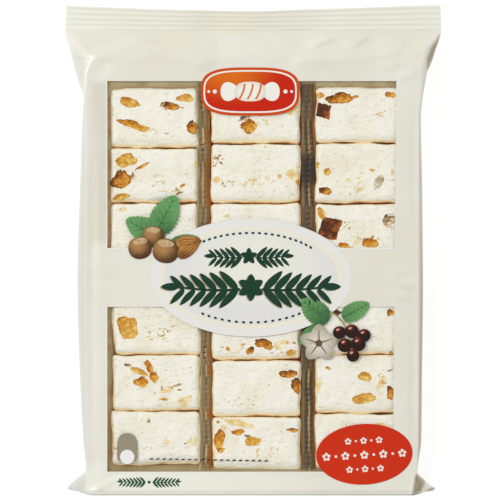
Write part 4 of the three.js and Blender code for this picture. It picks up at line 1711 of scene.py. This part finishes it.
@dataclass
class NougatBars:
    """Three columns of six bars, with the nuts and fruit that show on their cut faces."""

    top: float = 16.75
    thickness: float = 10.6
    round: float = 2.0
    gap: float = 0.5
    cuts: int = 29
    upper_columns: tuple[tuple[float, float], ...] = ((-69.8, -26.8), (-20.7, 23.1), (30.5, 73.4))
    lower_columns: tuple[tuple[float, float], ...] = ((-68.9, -25.9), (-19.9, 23.4), (30.2, 73.4))
    rows: tuple[tuple[float, ...], ...] = (
        (78.9, 49.4, 22.5, -4.4, -23.6, -51.4, -78.8, -105.6),
        (79.2, 51.4, 22.6, -4.6, -26.2, -54.1, -81.7, -107.7),
        (79.4, 51.9, 22.4, -4.6, -23.8, -51.4, -80.2, -106.8),
    )
    lips: tuple[tuple[float, ...], ...] = (
        (2.5, 2.0, 1.4, 1.3, 1.1, 1.9), (2.7, 1.9, 1.6, 1.9, 2.3, 2.0), (1.8, 1.2, 1.4, 1.8, 2.0, 1.6),
    )
    drawn_in: tuple[tuple[int, int, float], ...] = ((0, 3, 1.6), (1, 5, 0.4), (0, 0, 0.8))
    bits: tuple[tuple[Morsel, tuple[tuple[float, ...], ...]], ...] = (
        (GOLDEN, (
            (-60.5, 72.0, 10.5, 4.8, -20), (-32.6, 74.0, 9.0, 3.6, -4), (-61.7, 43.6, 10.2, 6.6, 6),
            (-64.4, 25.9, 8.8, 3.2, 10), (22.0, 33.2, 2.6, 2.8), (13.1, 35.9, 2.3, 2.2),
            (33.0, 75.3, 3.7, 3.0), (36.1, 38.0, 3.6, 3.6, -15), (58.1, 38.8, 2.8, 1.5, -25),
            (31.5, 41.4, 1.6, 2.8), (33.3, 17.9, 3.4, 6.4, 28), (-60.8, -37.5, 9.4, 11.6, 20),
            (-55.6, -59.2, 8.6, 2.8, -22), (-43.6, -72.8, 4.2, 1.3), (-67.9, -85.9, 1.6, 2.4),
            (18.7, -50.2, 4.8, 3.2, 5), (16.7, -45.1, 1.4, 1.6), (-12.2, -48.2, 2.0, 2.4, 30),
            (-4.6, -46.0, 2.4, 0.9, 25), (-0.1, -93.3, 7.8, 5.0, 12), (-17.1, -83.8, 1.7, 1.6),
            (54.4, -61.8, 7.2, 4.4, -8), (54.2, -72.4, 12.0, 5.0, 6),
        )),
        (BROWN, (
            (-39.9, 70.1, 8.6, 3.7, -8), (-29.6, 59.9, 4.9, 6.9, 10), (-64.7, 34.4, 9.6, 8.6, 20),
            (42.4, 73.9, 13.6, 5.2, 3), (35.0, 28.8, 6.2, 3.4, -6), (-1.3, -49.0, 3.2, 4.8, -35),
            (5.4, -45.9, 9.8, 4.8, -18), (17.2, -60.3, 9.0, 4.0, 3), (21.2, -66.4, 5.2, 6.9, 10),
            (19.2, -87.8, 5.6, 2.0, -4), (67.0, -30.4, 3.4, 3.8), (66.8, -69.5, 3.4, 7.0),
        )),
        (ORANGE, (
            (-58.2, 61.0, 15.6, 3.6, -17), (-53.7, 41.0, 8.0, 1.5, 27), (-34.3, 31.4, 3.2, 1.4, 30),
            (-41.9, 19.6, 5.4, 1.6), (-1.7, 60.3, 7.4, 7.2, 15), (49.6, 74.6, 4.0, 1.5, 12),
            (66.9, 75.7, 5.4, 3.0), (57.0, 3.4, 8.6, 4.4, -6), (44.3, 2.2, 6.0, 2.6, -14),
            (-50.6, -57.0, 3.4, 7.4, 30), (-54.4, -64.4, 7.0, 4.8, -5), (-48.4, -62.0, 4.6, 5.0, 20),
            (-36.0, -68.2, 2.6, 0.8), (-50.7, -83.5, 2.0, 1.4, 30), (-16.2, -92.4, 5.4, 8.6, -12),
            (-15.6, -97.6, 3.6, 2.4, 20), (-7.2, -88.8, 6.0, 3.2, 8), (67.3, -50.2, 1.8, 1.8),
            (36.6, -57.6, 2.4, 1.8, -20),
        )),
        (PALE, (
            (-27.9, 42.1, 2.0, 2.4), (-63.6, 19.8, 3.6, 2.2, 30), (18.6, 68.6, 7.8, 6.0, 15),
            (-17.7, 34.3, 4.4, 3.6), (19.3, 36.6, 7.4, 6.0, -20), (21.6, 40.6, 2.8, 3.6, 10),
            (-13.0, 16.7, 3.2, 1.6), (51.9, 29.4, 5.4, 1.7, 28), (68.0, 37.6, 2.0, 3.6),
            (47.0, 33.8, 4.0, 1.6, -30), (50.4, 4.0, 3.4, 2.4, 30), (-42.4, -68.4, 5.8, 1.8, 20),
            (-32.9, -73.7, 7.2, 5.0, 35), (-28.8, -93.4, 4.2, 4.6, 40), (-42.2, -93.6, 3.4, 3.0),
            (12.2, -47.0, 3.4, 5.0, 40), (14.6, -45.0, 3.0, 2.4, 30), (-7.4, -84.6, 14.6, 3.8, -8),
            (-14.4, -86.6, 4.0, 2.6, 10), (62.4, -65.4, 3.4, 8.0, -22), (32.2, -65.9, 3.0, 6.4),
            (63.0, -85.3, 8.4, 2.2),
        )),
        (FRUIT, (
            (34.4, 67.9, 8.2, 8.6, 32), (37.4, 10.4, 13.2, 11.4, 32), (40.7, -30.6, 5.0, 3.2),
        )),
        (GREY, (
            (61.2, 33.1, 4.2, 8.0, -32),
        )),
        (HOLLOW_SHADE, (
            (-43.6, 71.2, 4.0, 2.2, 20), (-42.1, 56.8, 2.4, 0.7), (-58.8, 35.8, 2.6, 3.6, -30),
            (-35.6, 27.9, 3.6, 1.4, 10), (-4.0, 64.2, 6.0, 2.2, 12), (-17.6, 44.6, 2.4, 2.0),
            (-15.6, 42.4, 2.4, 1.2, -30), (-18.8, 41.0, 1.4, 0.9), (-12.2, 33.1, 1.8, 0.8, 20),
            (66.0, 14.2, 6.0, 6.6), (-39.0, -37.2, 1.8, 0.5, 25), (-61.2, -56.2, 3.6, 1.8, -14),
            (-36.8, -66.0, 5.0, 1.2, 14), (-67.2, -96.8, 2.4, 0.9, -15), (-15.2, -47.4, 2.0, 0.6),
            (19.8, -63.6, 3.6, 1.2, 25), (-2.6, -90.8, 3.6, 1.6, -10), (66.8, -58.8, 3.0, 0.9, 15),
        )),
        (SPECK, (
            (-41.2, 66.2, 1.2, 0.9), (-44.0, 28.7, 5.6, 0.4, -1), (14.2, 60.3, 0.8, 1.2),
            (5.9, 50.3, 1.2, 0.9), (16.4, 30.9, 1.1, 0.8), (-10.0, 31.6, 1.4, 0.8, 20),
            (62.1, 65.4, 4.0, 0.6, -12), (46.1, 38.7, 1.1, 1.1), (-52.2, -38.0, 1.3, 0.8, 40),
            (-44.8, -38.2, 2.4, 0.6, -30), (-43.4, -40.6, 2.0, 0.6, -60), (-51.0, -42.2, 2.2, 0.7, 20),
            (-49.5, -48.5, 1.5, 0.8, 45), (-32.8, -43.0, 1.2, 0.7), (-30.5, -57.3, 1.6, 0.7),
            (-29.9, -59.8, 0.8, 0.8), (16.0, -56.2, 1.4, 0.6, -20), (7.8, -65.7, 1.0, 1.0),
            (-8.8, -73.3, 1.0, 0.8), (0.1, -75.5, 1.6, 0.7), (13.6, -88.4, 0.9, 1.2),
            (45.4, -85.6, 1.0, 0.8),
        )),
    )
    clusters: tuple[Cluster, ...] = (
        Cluster(-45.5, -40.4, 15, 7, 12, 26, (PALE, SPECK, HOLLOW_SHADE)),
        Cluster(-42.0, -68.0, 12, 5, 18, 22, (PALE, HOLLOW_SHADE, SPECK)),
        Cluster(-17.4, 44.2, 5, 6, 20, 12, (HOLLOW_SHADE, SPECK)),
        Cluster(-13.0, 32.6, 8, 3, 15, 10, (HOLLOW_SHADE, SPECK)),
        Cluster(-37.0, 28.6, 7, 3.4, 18, 12, (HOLLOW_SHADE, PALE)),
        Cluster(-46.0, 32.2, 9, 3, 20, 8, (SPECK, PALE)),
        Cluster(2.0, 33.6, 24, 5, 8, 20, (SPECK, PALE)),
        Cluster(50.0, 31.0, 12, 8, 20, 16, (PALE, SPECK)),
        Cluster(62.0, 66.0, 12, 4, -12, 9, (SPECK, PALE)),
        Cluster(3.4, 62.0, 12, 7, 10, 10, (PALE, SPECK)),
        Cluster(57.6, 5.4, 16, 5, 8, 16, (SPECK, HOLLOW_SHADE, PALE)),
        Cluster(47.0, 12.4, 6, 6, 30, 8, (SPECK, HOLLOW_SHADE)),
        Cluster(-4.0, -47.4, 10, 5, 20, 10, (SPECK, PALE)),
        Cluster(12.0, -47.4, 14, 7, 10, 10, (PALE, GOLDEN)),
        Cluster(-4.0, -72.0, 20, 5, 6, 8, (SPECK,)),
        Cluster(-46.0, 58.0, 16, 4, -17, 6, (SPECK, PALE)),
        Cluster(-41.0, 70.0, 12, 5, -10, 8, (HOLLOW_SHADE, ORANGE)),
        Cluster(63.0, -63.0, 8, 9, 20, 9, (GOLDEN, PALE)),
        Cluster(-50.0, -60.0, 11, 9, 30, 8, (ORANGE, HOLLOW_SHADE)),
        Cluster(-30.4, -93.0, 7, 6, 40, 12, (PALE, HOLLOW_SHADE)),
        Cluster(-50.0, -96.0, 26, 5, 6, 10, (SPECK, PALE)),
        Cluster(4.0, -98.0, 28, 5, 8, 12, (SPECK, PALE)),
    )
    dropped: tuple[tuple[int, int, float], ...] = ((1, 5, 1.3),)
    crumbs: int = 210
    seed: int = 11

    def __post_init__(self) -> None:
        """Seed the noise vectors, which are otherwise new in each run, and work out the bars."""
        noise.seed_set(self.seed)
        self.bars = self.all_bars()

    def all_bars(self) -> list[Bar]:
        """Every bar, by column and row."""
        made = []
        for column, edges in enumerate(self.rows):
            spans = [*zip(edges[:3], edges[1:4]), *zip(edges[4:7], edges[5:8])]
            for row, (high, low) in enumerate(spans):
                left, right = (self.upper_columns if row < 3 else self.lower_columns)[column]
                draw_in = sum(by for c, r, by in self.drawn_in if (c, r) == (column, row))
                drop = sum(by for c, r, by in self.dropped if (c, r) == (column, row))
                lip = self.lips[column][row]
                made.append(Bar(column, row, left, right, low + self.gap, high, lip, draw_in, drop))
        return made

    def sway(self, bar: Bar, spot: Vector) -> Vector:
        """The small unevenness of a bar's cut faces at a point, in mm."""
        offset = Vector((bar.column * 31.7, bar.row * 17.3, 5.0))
        large = noise.noise_vector(spot / 10 + offset) * 1.05
        small = noise.noise_vector(spot / 3.2 + offset) * 0.26
        part = (bar.high - spot.y) / (bar.high - bar.low)
        inward = bar.draw_in * part**2 * smoothstep(bar.middle[0], bar.left, spot.x)
        drop = bar.drop * part * smoothstep(bar.left, bar.right, spot.x)
        return Vector((large.x * 0.8 + inward, large.y * 0.7 - drop, large.z * 0.35)) + small

    def slope_off(self, bar: Bar, spot: Vector) -> float:
        """How far the top sinks here towards the bar's lower edge and its two ends."""
        wander = 0.8 * noise.noise(Vector((spot.x / 9, bar.row * 9.1, bar.column * 4.7)))
        wander += 0.4 * noise.noise(Vector((spot.x / 3, bar.row * 9.1, bar.column * 4.7)))
        reach = bar.lip * (1.2 + wander)
        lower = 1.45 * smoothstep(bar.low + reach * 1.5 + 1.6, bar.low, spot.y) ** 1.3
        wide = 1.7 + 2.2 * noise.noise(Vector((spot.y / 8, bar.row * 3.3, bar.column * 6.1)))
        inside = min(spot.x - bar.left, bar.right - spot.x)
        return max(lower, 1.1 * smoothstep(max(0.4, wide), 0.0, inside))

    def top_at(self, bar: Bar, x: float, y: float) -> float:
        """The height of a bar's top here, in mm."""
        spot = Vector((x, y, self.top))
        return min(self.top + self.sway(bar, spot).z, self.top + 0.3) - self.slope_off(bar, spot)

    def build_bar(self, bar: Bar, material: bpy.types.Material) -> None:
        """One bar: a cut block with worn edges, uneven faces and a sloping lower edge."""
        mesh = bmesh.new()
        bmesh.ops.create_cube(mesh, size=1.0)
        bmesh.ops.subdivide_edges(mesh, edges=mesh.edges, cuts=self.cuts, use_grid_fill=True)
        size = Vector((bar.right - bar.left, bar.high - bar.low, self.thickness))
        middle = Vector((*bar.middle, self.top - self.thickness / 2))
        inner = size / 2 - Vector((self.round,) * 3)
        for vert in mesh.verts:
            eased = [mix(part, 0.5 * math.sin(math.pi * part), 0.75) for part in vert.co]
            spot = Vector([a * b for a, b in zip(eased, size)])
            core = Vector([min(b, max(-b, a)) for a, b in zip(spot, inner)])
            off = spot - core
            if off.length > 1e-9:
                spot = core + off.normalized() * self.round
            spot += middle
            moved = spot + self.sway(bar, spot)
            high = smoothstep(middle.z, self.top - 0.5, spot.z)
            moved.z = min(moved.z, self.top + 0.3) - self.slope_off(bar, spot) * high
            vert.co = moved
        make_piece(f"nougat_bar_{bar.column + 1}_{bar.row + 1}", mesh, material, "nougat")

    def under(self, x: float, y: float) -> Bar | None:
        """The bar that a point lies on, seen from above."""
        return next((b for b in self.bars if b.left <= x <= b.right and b.low <= y <= b.high), None)

    def morsel(self, bit: Bit, look: Look) -> bmesh.types.BMesh:
        """One lump with a rough outline, sunk in its bar so that its top stands just proud.

        Args:
            bit: what and where it is.
            look: how its kind is made.

        Returns:
            Its mesh in mm, with a tone on its points: painted light on the lower right, painted shade on
            the upper left and round the rim.
        """
        mesh = bmesh.new()
        tone = mesh.verts.layers.float.new("tone")
        size = max(bit.long, bit.wide)
        faces = 5 if size > 5 else 4 if size > 2.5 else 2
        bmesh.ops.create_icosphere(mesh, subdivisions=faces, radius=1.0)
        bar = self.under(bit.x, bit.y)
        turn = math.radians(bit.turn)
        seed = Vector((bit.x, bit.y, 0))
        deep = min(1.4, 0.4 + min(bit.long, bit.wide) * 0.25)
        for vert in mesh.verts:
            way = vert.co.normalized()
            ring = Vector((way.x, way.y, 0)).normalized() if abs(way.z) < 0.999 else Vector()
            jag = 0.9 * noise.noise(ring * 1.1 + seed) + 0.36 * noise.noise(ring * 2.7 + seed)
            jag += 0.12 * noise.noise(ring * size * 0.8 + seed)
            reach = 1 + look.jag * jag * 1.4
            if look.corners:
                wedge = 2 * math.pi / look.corners
                angle = math.atan2(way.y, way.x) % wedge
                reach *= math.cos(wedge / 2) ** 0.6 / math.cos(angle - wedge / 2) ** 0.9
            across, along = way.x * bit.long / 2 * reach, way.y * bit.wide / 2 * reach
            x = bit.x + across * math.cos(turn) - along * math.sin(turn)
            y = bit.y + across * math.sin(turn) + along * math.cos(turn)
            if bar:
                x = min(bar.right - 0.25, max(bar.left + 0.25, x))
                y = min(bar.high - 0.25, max(bar.low + 0.4, y))
            ground = self.top_at(bar, x, y) if bar else self.top - 1.0
            height = look.lift * way.z**0.6 if way.z > 0 else -deep * (-way.z) ** 0.7
            grain = 0.16 * noise.noise(Vector((x, y, 0)) * 1.1) if way.z > 0.1 else 0.0
            out = math.hypot(way.x, way.y) if way.z > 0 else 1.0
            # painted shade and light: darker to the upper left and round the rim
            aside = (way.x * 0.55 - way.y * 0.83) * look.side
            vert[tone] = 0.55 + aside - look.rim * smoothstep(0.7, 1.0, out)
            vert.co = Vector((x, y, ground + height + grain + look.sit))
        return mesh

    def scattered(self) -> list[Bit]:
        """Crumbs strewn over the bars, and the bits of each cluster, by a seeded draw."""
        draw = random.Random(self.seed)
        made = []
        for _ in range(self.crumbs):
            bar = draw.choice(self.bars)
            x = draw.uniform(bar.left + 1.5, bar.right - 1.5)
            y = draw.uniform(bar.low + 2, bar.high - 1.5)
            size = draw.uniform(0.2, 0.62)
            kind = draw.choice((SPECK, PALE))
            made.append(Bit(kind, x, y, size * draw.uniform(1, 2), size, draw.uniform(0, 180)))
        for patch in self.clusters:
            turn = math.radians(patch.turn)
            for _ in range(patch.count):
                across = draw.gauss(0, patch.long / 4)
                along = draw.gauss(0, patch.wide / 4)
                x = patch.x + across * math.cos(turn) - along * math.sin(turn)
                y = patch.y + across * math.sin(turn) + along * math.cos(turn)
                size = draw.uniform(0.35, 1.1)
                kind = draw.choice(patch.kinds)
                spread = draw.uniform(1, 2.4)
                made.append(Bit(kind, x, y, size * spread, size, patch.turn + draw.gauss(0, 30)))
        return made

    @staticmethod
    def looks() -> dict[Morsel, Look]:
        """Each kind's finish and form."""

        def finish(name: str, *shades: tuple[int, int, int], **grit: float) -> MorselFinish:
            """A finish from its dark, middle and light screen colours."""
            return MorselFinish(name, *(linear(*shade) for shade in shades), **grit)

        golden = finish("nut_golden", (176, 108, 24), (214, 157, 58), (241, 207, 118))
        brown = finish("nut_brown", (92, 50, 7), (178, 105, 14), (224, 163, 62))
        orange = finish("nut_orange", (146, 82, 10), (200, 126, 20), (236, 185, 80))
        pale = finish("nut_pale", (218, 176, 106), (237, 212, 154), (246, 234, 198))
        fruit = finish("fruit_dark", (52, 24, 10), (94, 48, 18), (170, 94, 32), grain=1.5, roughness=0.4)
        grey = finish("nut_grey", (156, 136, 102), (200, 184, 152), (226, 214, 188))
        # painted shade of hollows
        hollow = finish("hollow", (92, 66, 38), (166, 136, 92), (220, 200, 160), grain=0.7, roughness=0.8)
        crumb = finish("crumb", (206, 156, 88), (228, 194, 134), (240, 218, 170), grain=0.6)
        return {
            GOLDEN: Look(golden, 0.2, 0.26, 0.2, 0.1, -0.02),
            BROWN: Look(brown, 0.2, 0.3, 0.42, 0.36),
            ORANGE: Look(orange, 0.18, 0.3, 0.3, 0.15),
            PALE: Look(pale, 0.14, 0.34, 0.1, -0.15, -0.03),
            FRUIT: Look(fruit, 0.18, 0.12, 0.3, 0.0, -0.02, "dried_fruit", 4),
            GREY: Look(grey, 0.14, side=0.2, rim=0.1),
            HOLLOW_SHADE: Look(hollow, 0.08, 0.4, 0.35, -0.1, 0.0),
            SPECK: Look(crumb, 0.07, 0.3, 0.1, 0.0, 0.0),
        }

    def build(self) -> None:
        """Make the bars and all that is in them."""
        material = NougatFinish(top=self.top).build()
        for bar in self.bars:
            self.build_bar(bar, material)
        every = [Bit(kind, *spot) for kind, spots in self.bits for spot in spots]
        every += self.scattered()
        for kind, look in self.looks().items():
            whole = joined(self.morsel(bit, look) for bit in every if bit.kind is kind)
            make_piece(look.finish.name, whole, look.finish.build(), look.slot)


@dataclass(frozen=True)
class SoftBox:
    """A rectangular soft light aimed at the pack, placed by its bearing and its rise."""

    name: str
    bearing: float
    rise: float
    distance: float
    wide: float
    tall: float
    radiance: float

    def hang(self) -> None:
        """Hang the light."""
        data = bpy.data.lights.new(self.name, "AREA")
        data.shape = "RECTANGLE"
        data.size = self.wide
        data.size_y = self.tall
        data.energy = self.radiance * math.pi * self.wide * self.tall
        lamp = bpy.data.objects.new(self.name, data)
        bearing, rise = math.radians(self.bearing), math.radians(self.rise)
        level = math.cos(rise)
        way = Vector((math.cos(bearing) * level, math.sin(bearing) * level, math.sin(rise)))
        lamp.location = way * self.distance
        lamp.rotation_euler = (-way).to_track_quat("-Z", "Y").to_euler()
        bpy.context.scene.collection.objects.link(lamp)


@dataclass
class Studio:
    """The white sweep, the soft light and the camera above the pack."""

    camera_height: float = 1.5
    view_width: float = 0.245
    view_level: float = 0.009
    view_middle: float = -0.00147
    sensor: float = 36.0
    dome: float = 0.6
    boxes: tuple[SoftBox, ...] = (
        SoftBox("key_light", 150, 52, 3.2, 1.15, 1.15, 7.9),
        SoftBox("left_strip", 163, 36, 2.4, 0.3, 1.8, 5.0),
        SoftBox("right_strip", 18, 32, 2.4, 0.18, 1.2, 6.0),
    )

    def floor(self) -> None:
        """The sweep that the pack lies on."""
        mesh = bmesh.new()
        bmesh.ops.create_grid(mesh, x_segments=4, y_segments=4, size=3000)
        bmesh.ops.translate(mesh, vec=(0, 0, -0.2), verts=mesh.verts)
        make_piece("floor", mesh, FloorFinish().build())

    def light(self) -> None:
        """An even white surround, with one soft light from each side."""
        world = bpy.data.worlds.new("surround")
        world.use_nodes = True
        world.node_tree.nodes["Background"].inputs["Strength"].default_value = self.dome
        world.node_tree.nodes["Background"].inputs["Color"].default_value = (1, 1, 1, 1)
        bpy.context.scene.world = world
        for box in self.boxes:
            box.hang()

    def camera(self) -> None:
        """A long lens straight above the pack."""
        data = bpy.data.cameras.new("camera")
        data.sensor_width = self.sensor
        data.lens = self.sensor * (self.camera_height - self.view_level) / self.view_width
        camera = bpy.data.objects.new("camera", data)
        camera.location = (self.view_middle, 0, self.camera_height)
        bpy.context.scene.collection.objects.link(camera)
        bpy.context.scene.camera = camera
        bpy.context.scene.view_settings.view_transform = "Standard"

    def build(self) -> None:
        """Make the studio."""
        self.camera()
        self.floor()
        self.light()


def main() -> None:
    """Build the pack from the outside in, and log the names of the CAD model's nodes."""
    logging.basicConfig(level=logging.INFO, format="%(name)s %(message)s")
    form = PackForm()
    Studio().build()
    shell = FilmShell(form)
    shell.build()
    BackSeam(form).build()
    FrontPrint(form).build(shell.windows)
    Tray().build()
    NougatBars().build()
    log.info("frame nodes: %s", ", ".join(frame["nodes"]))


if __name__ == "__main__":
    main()
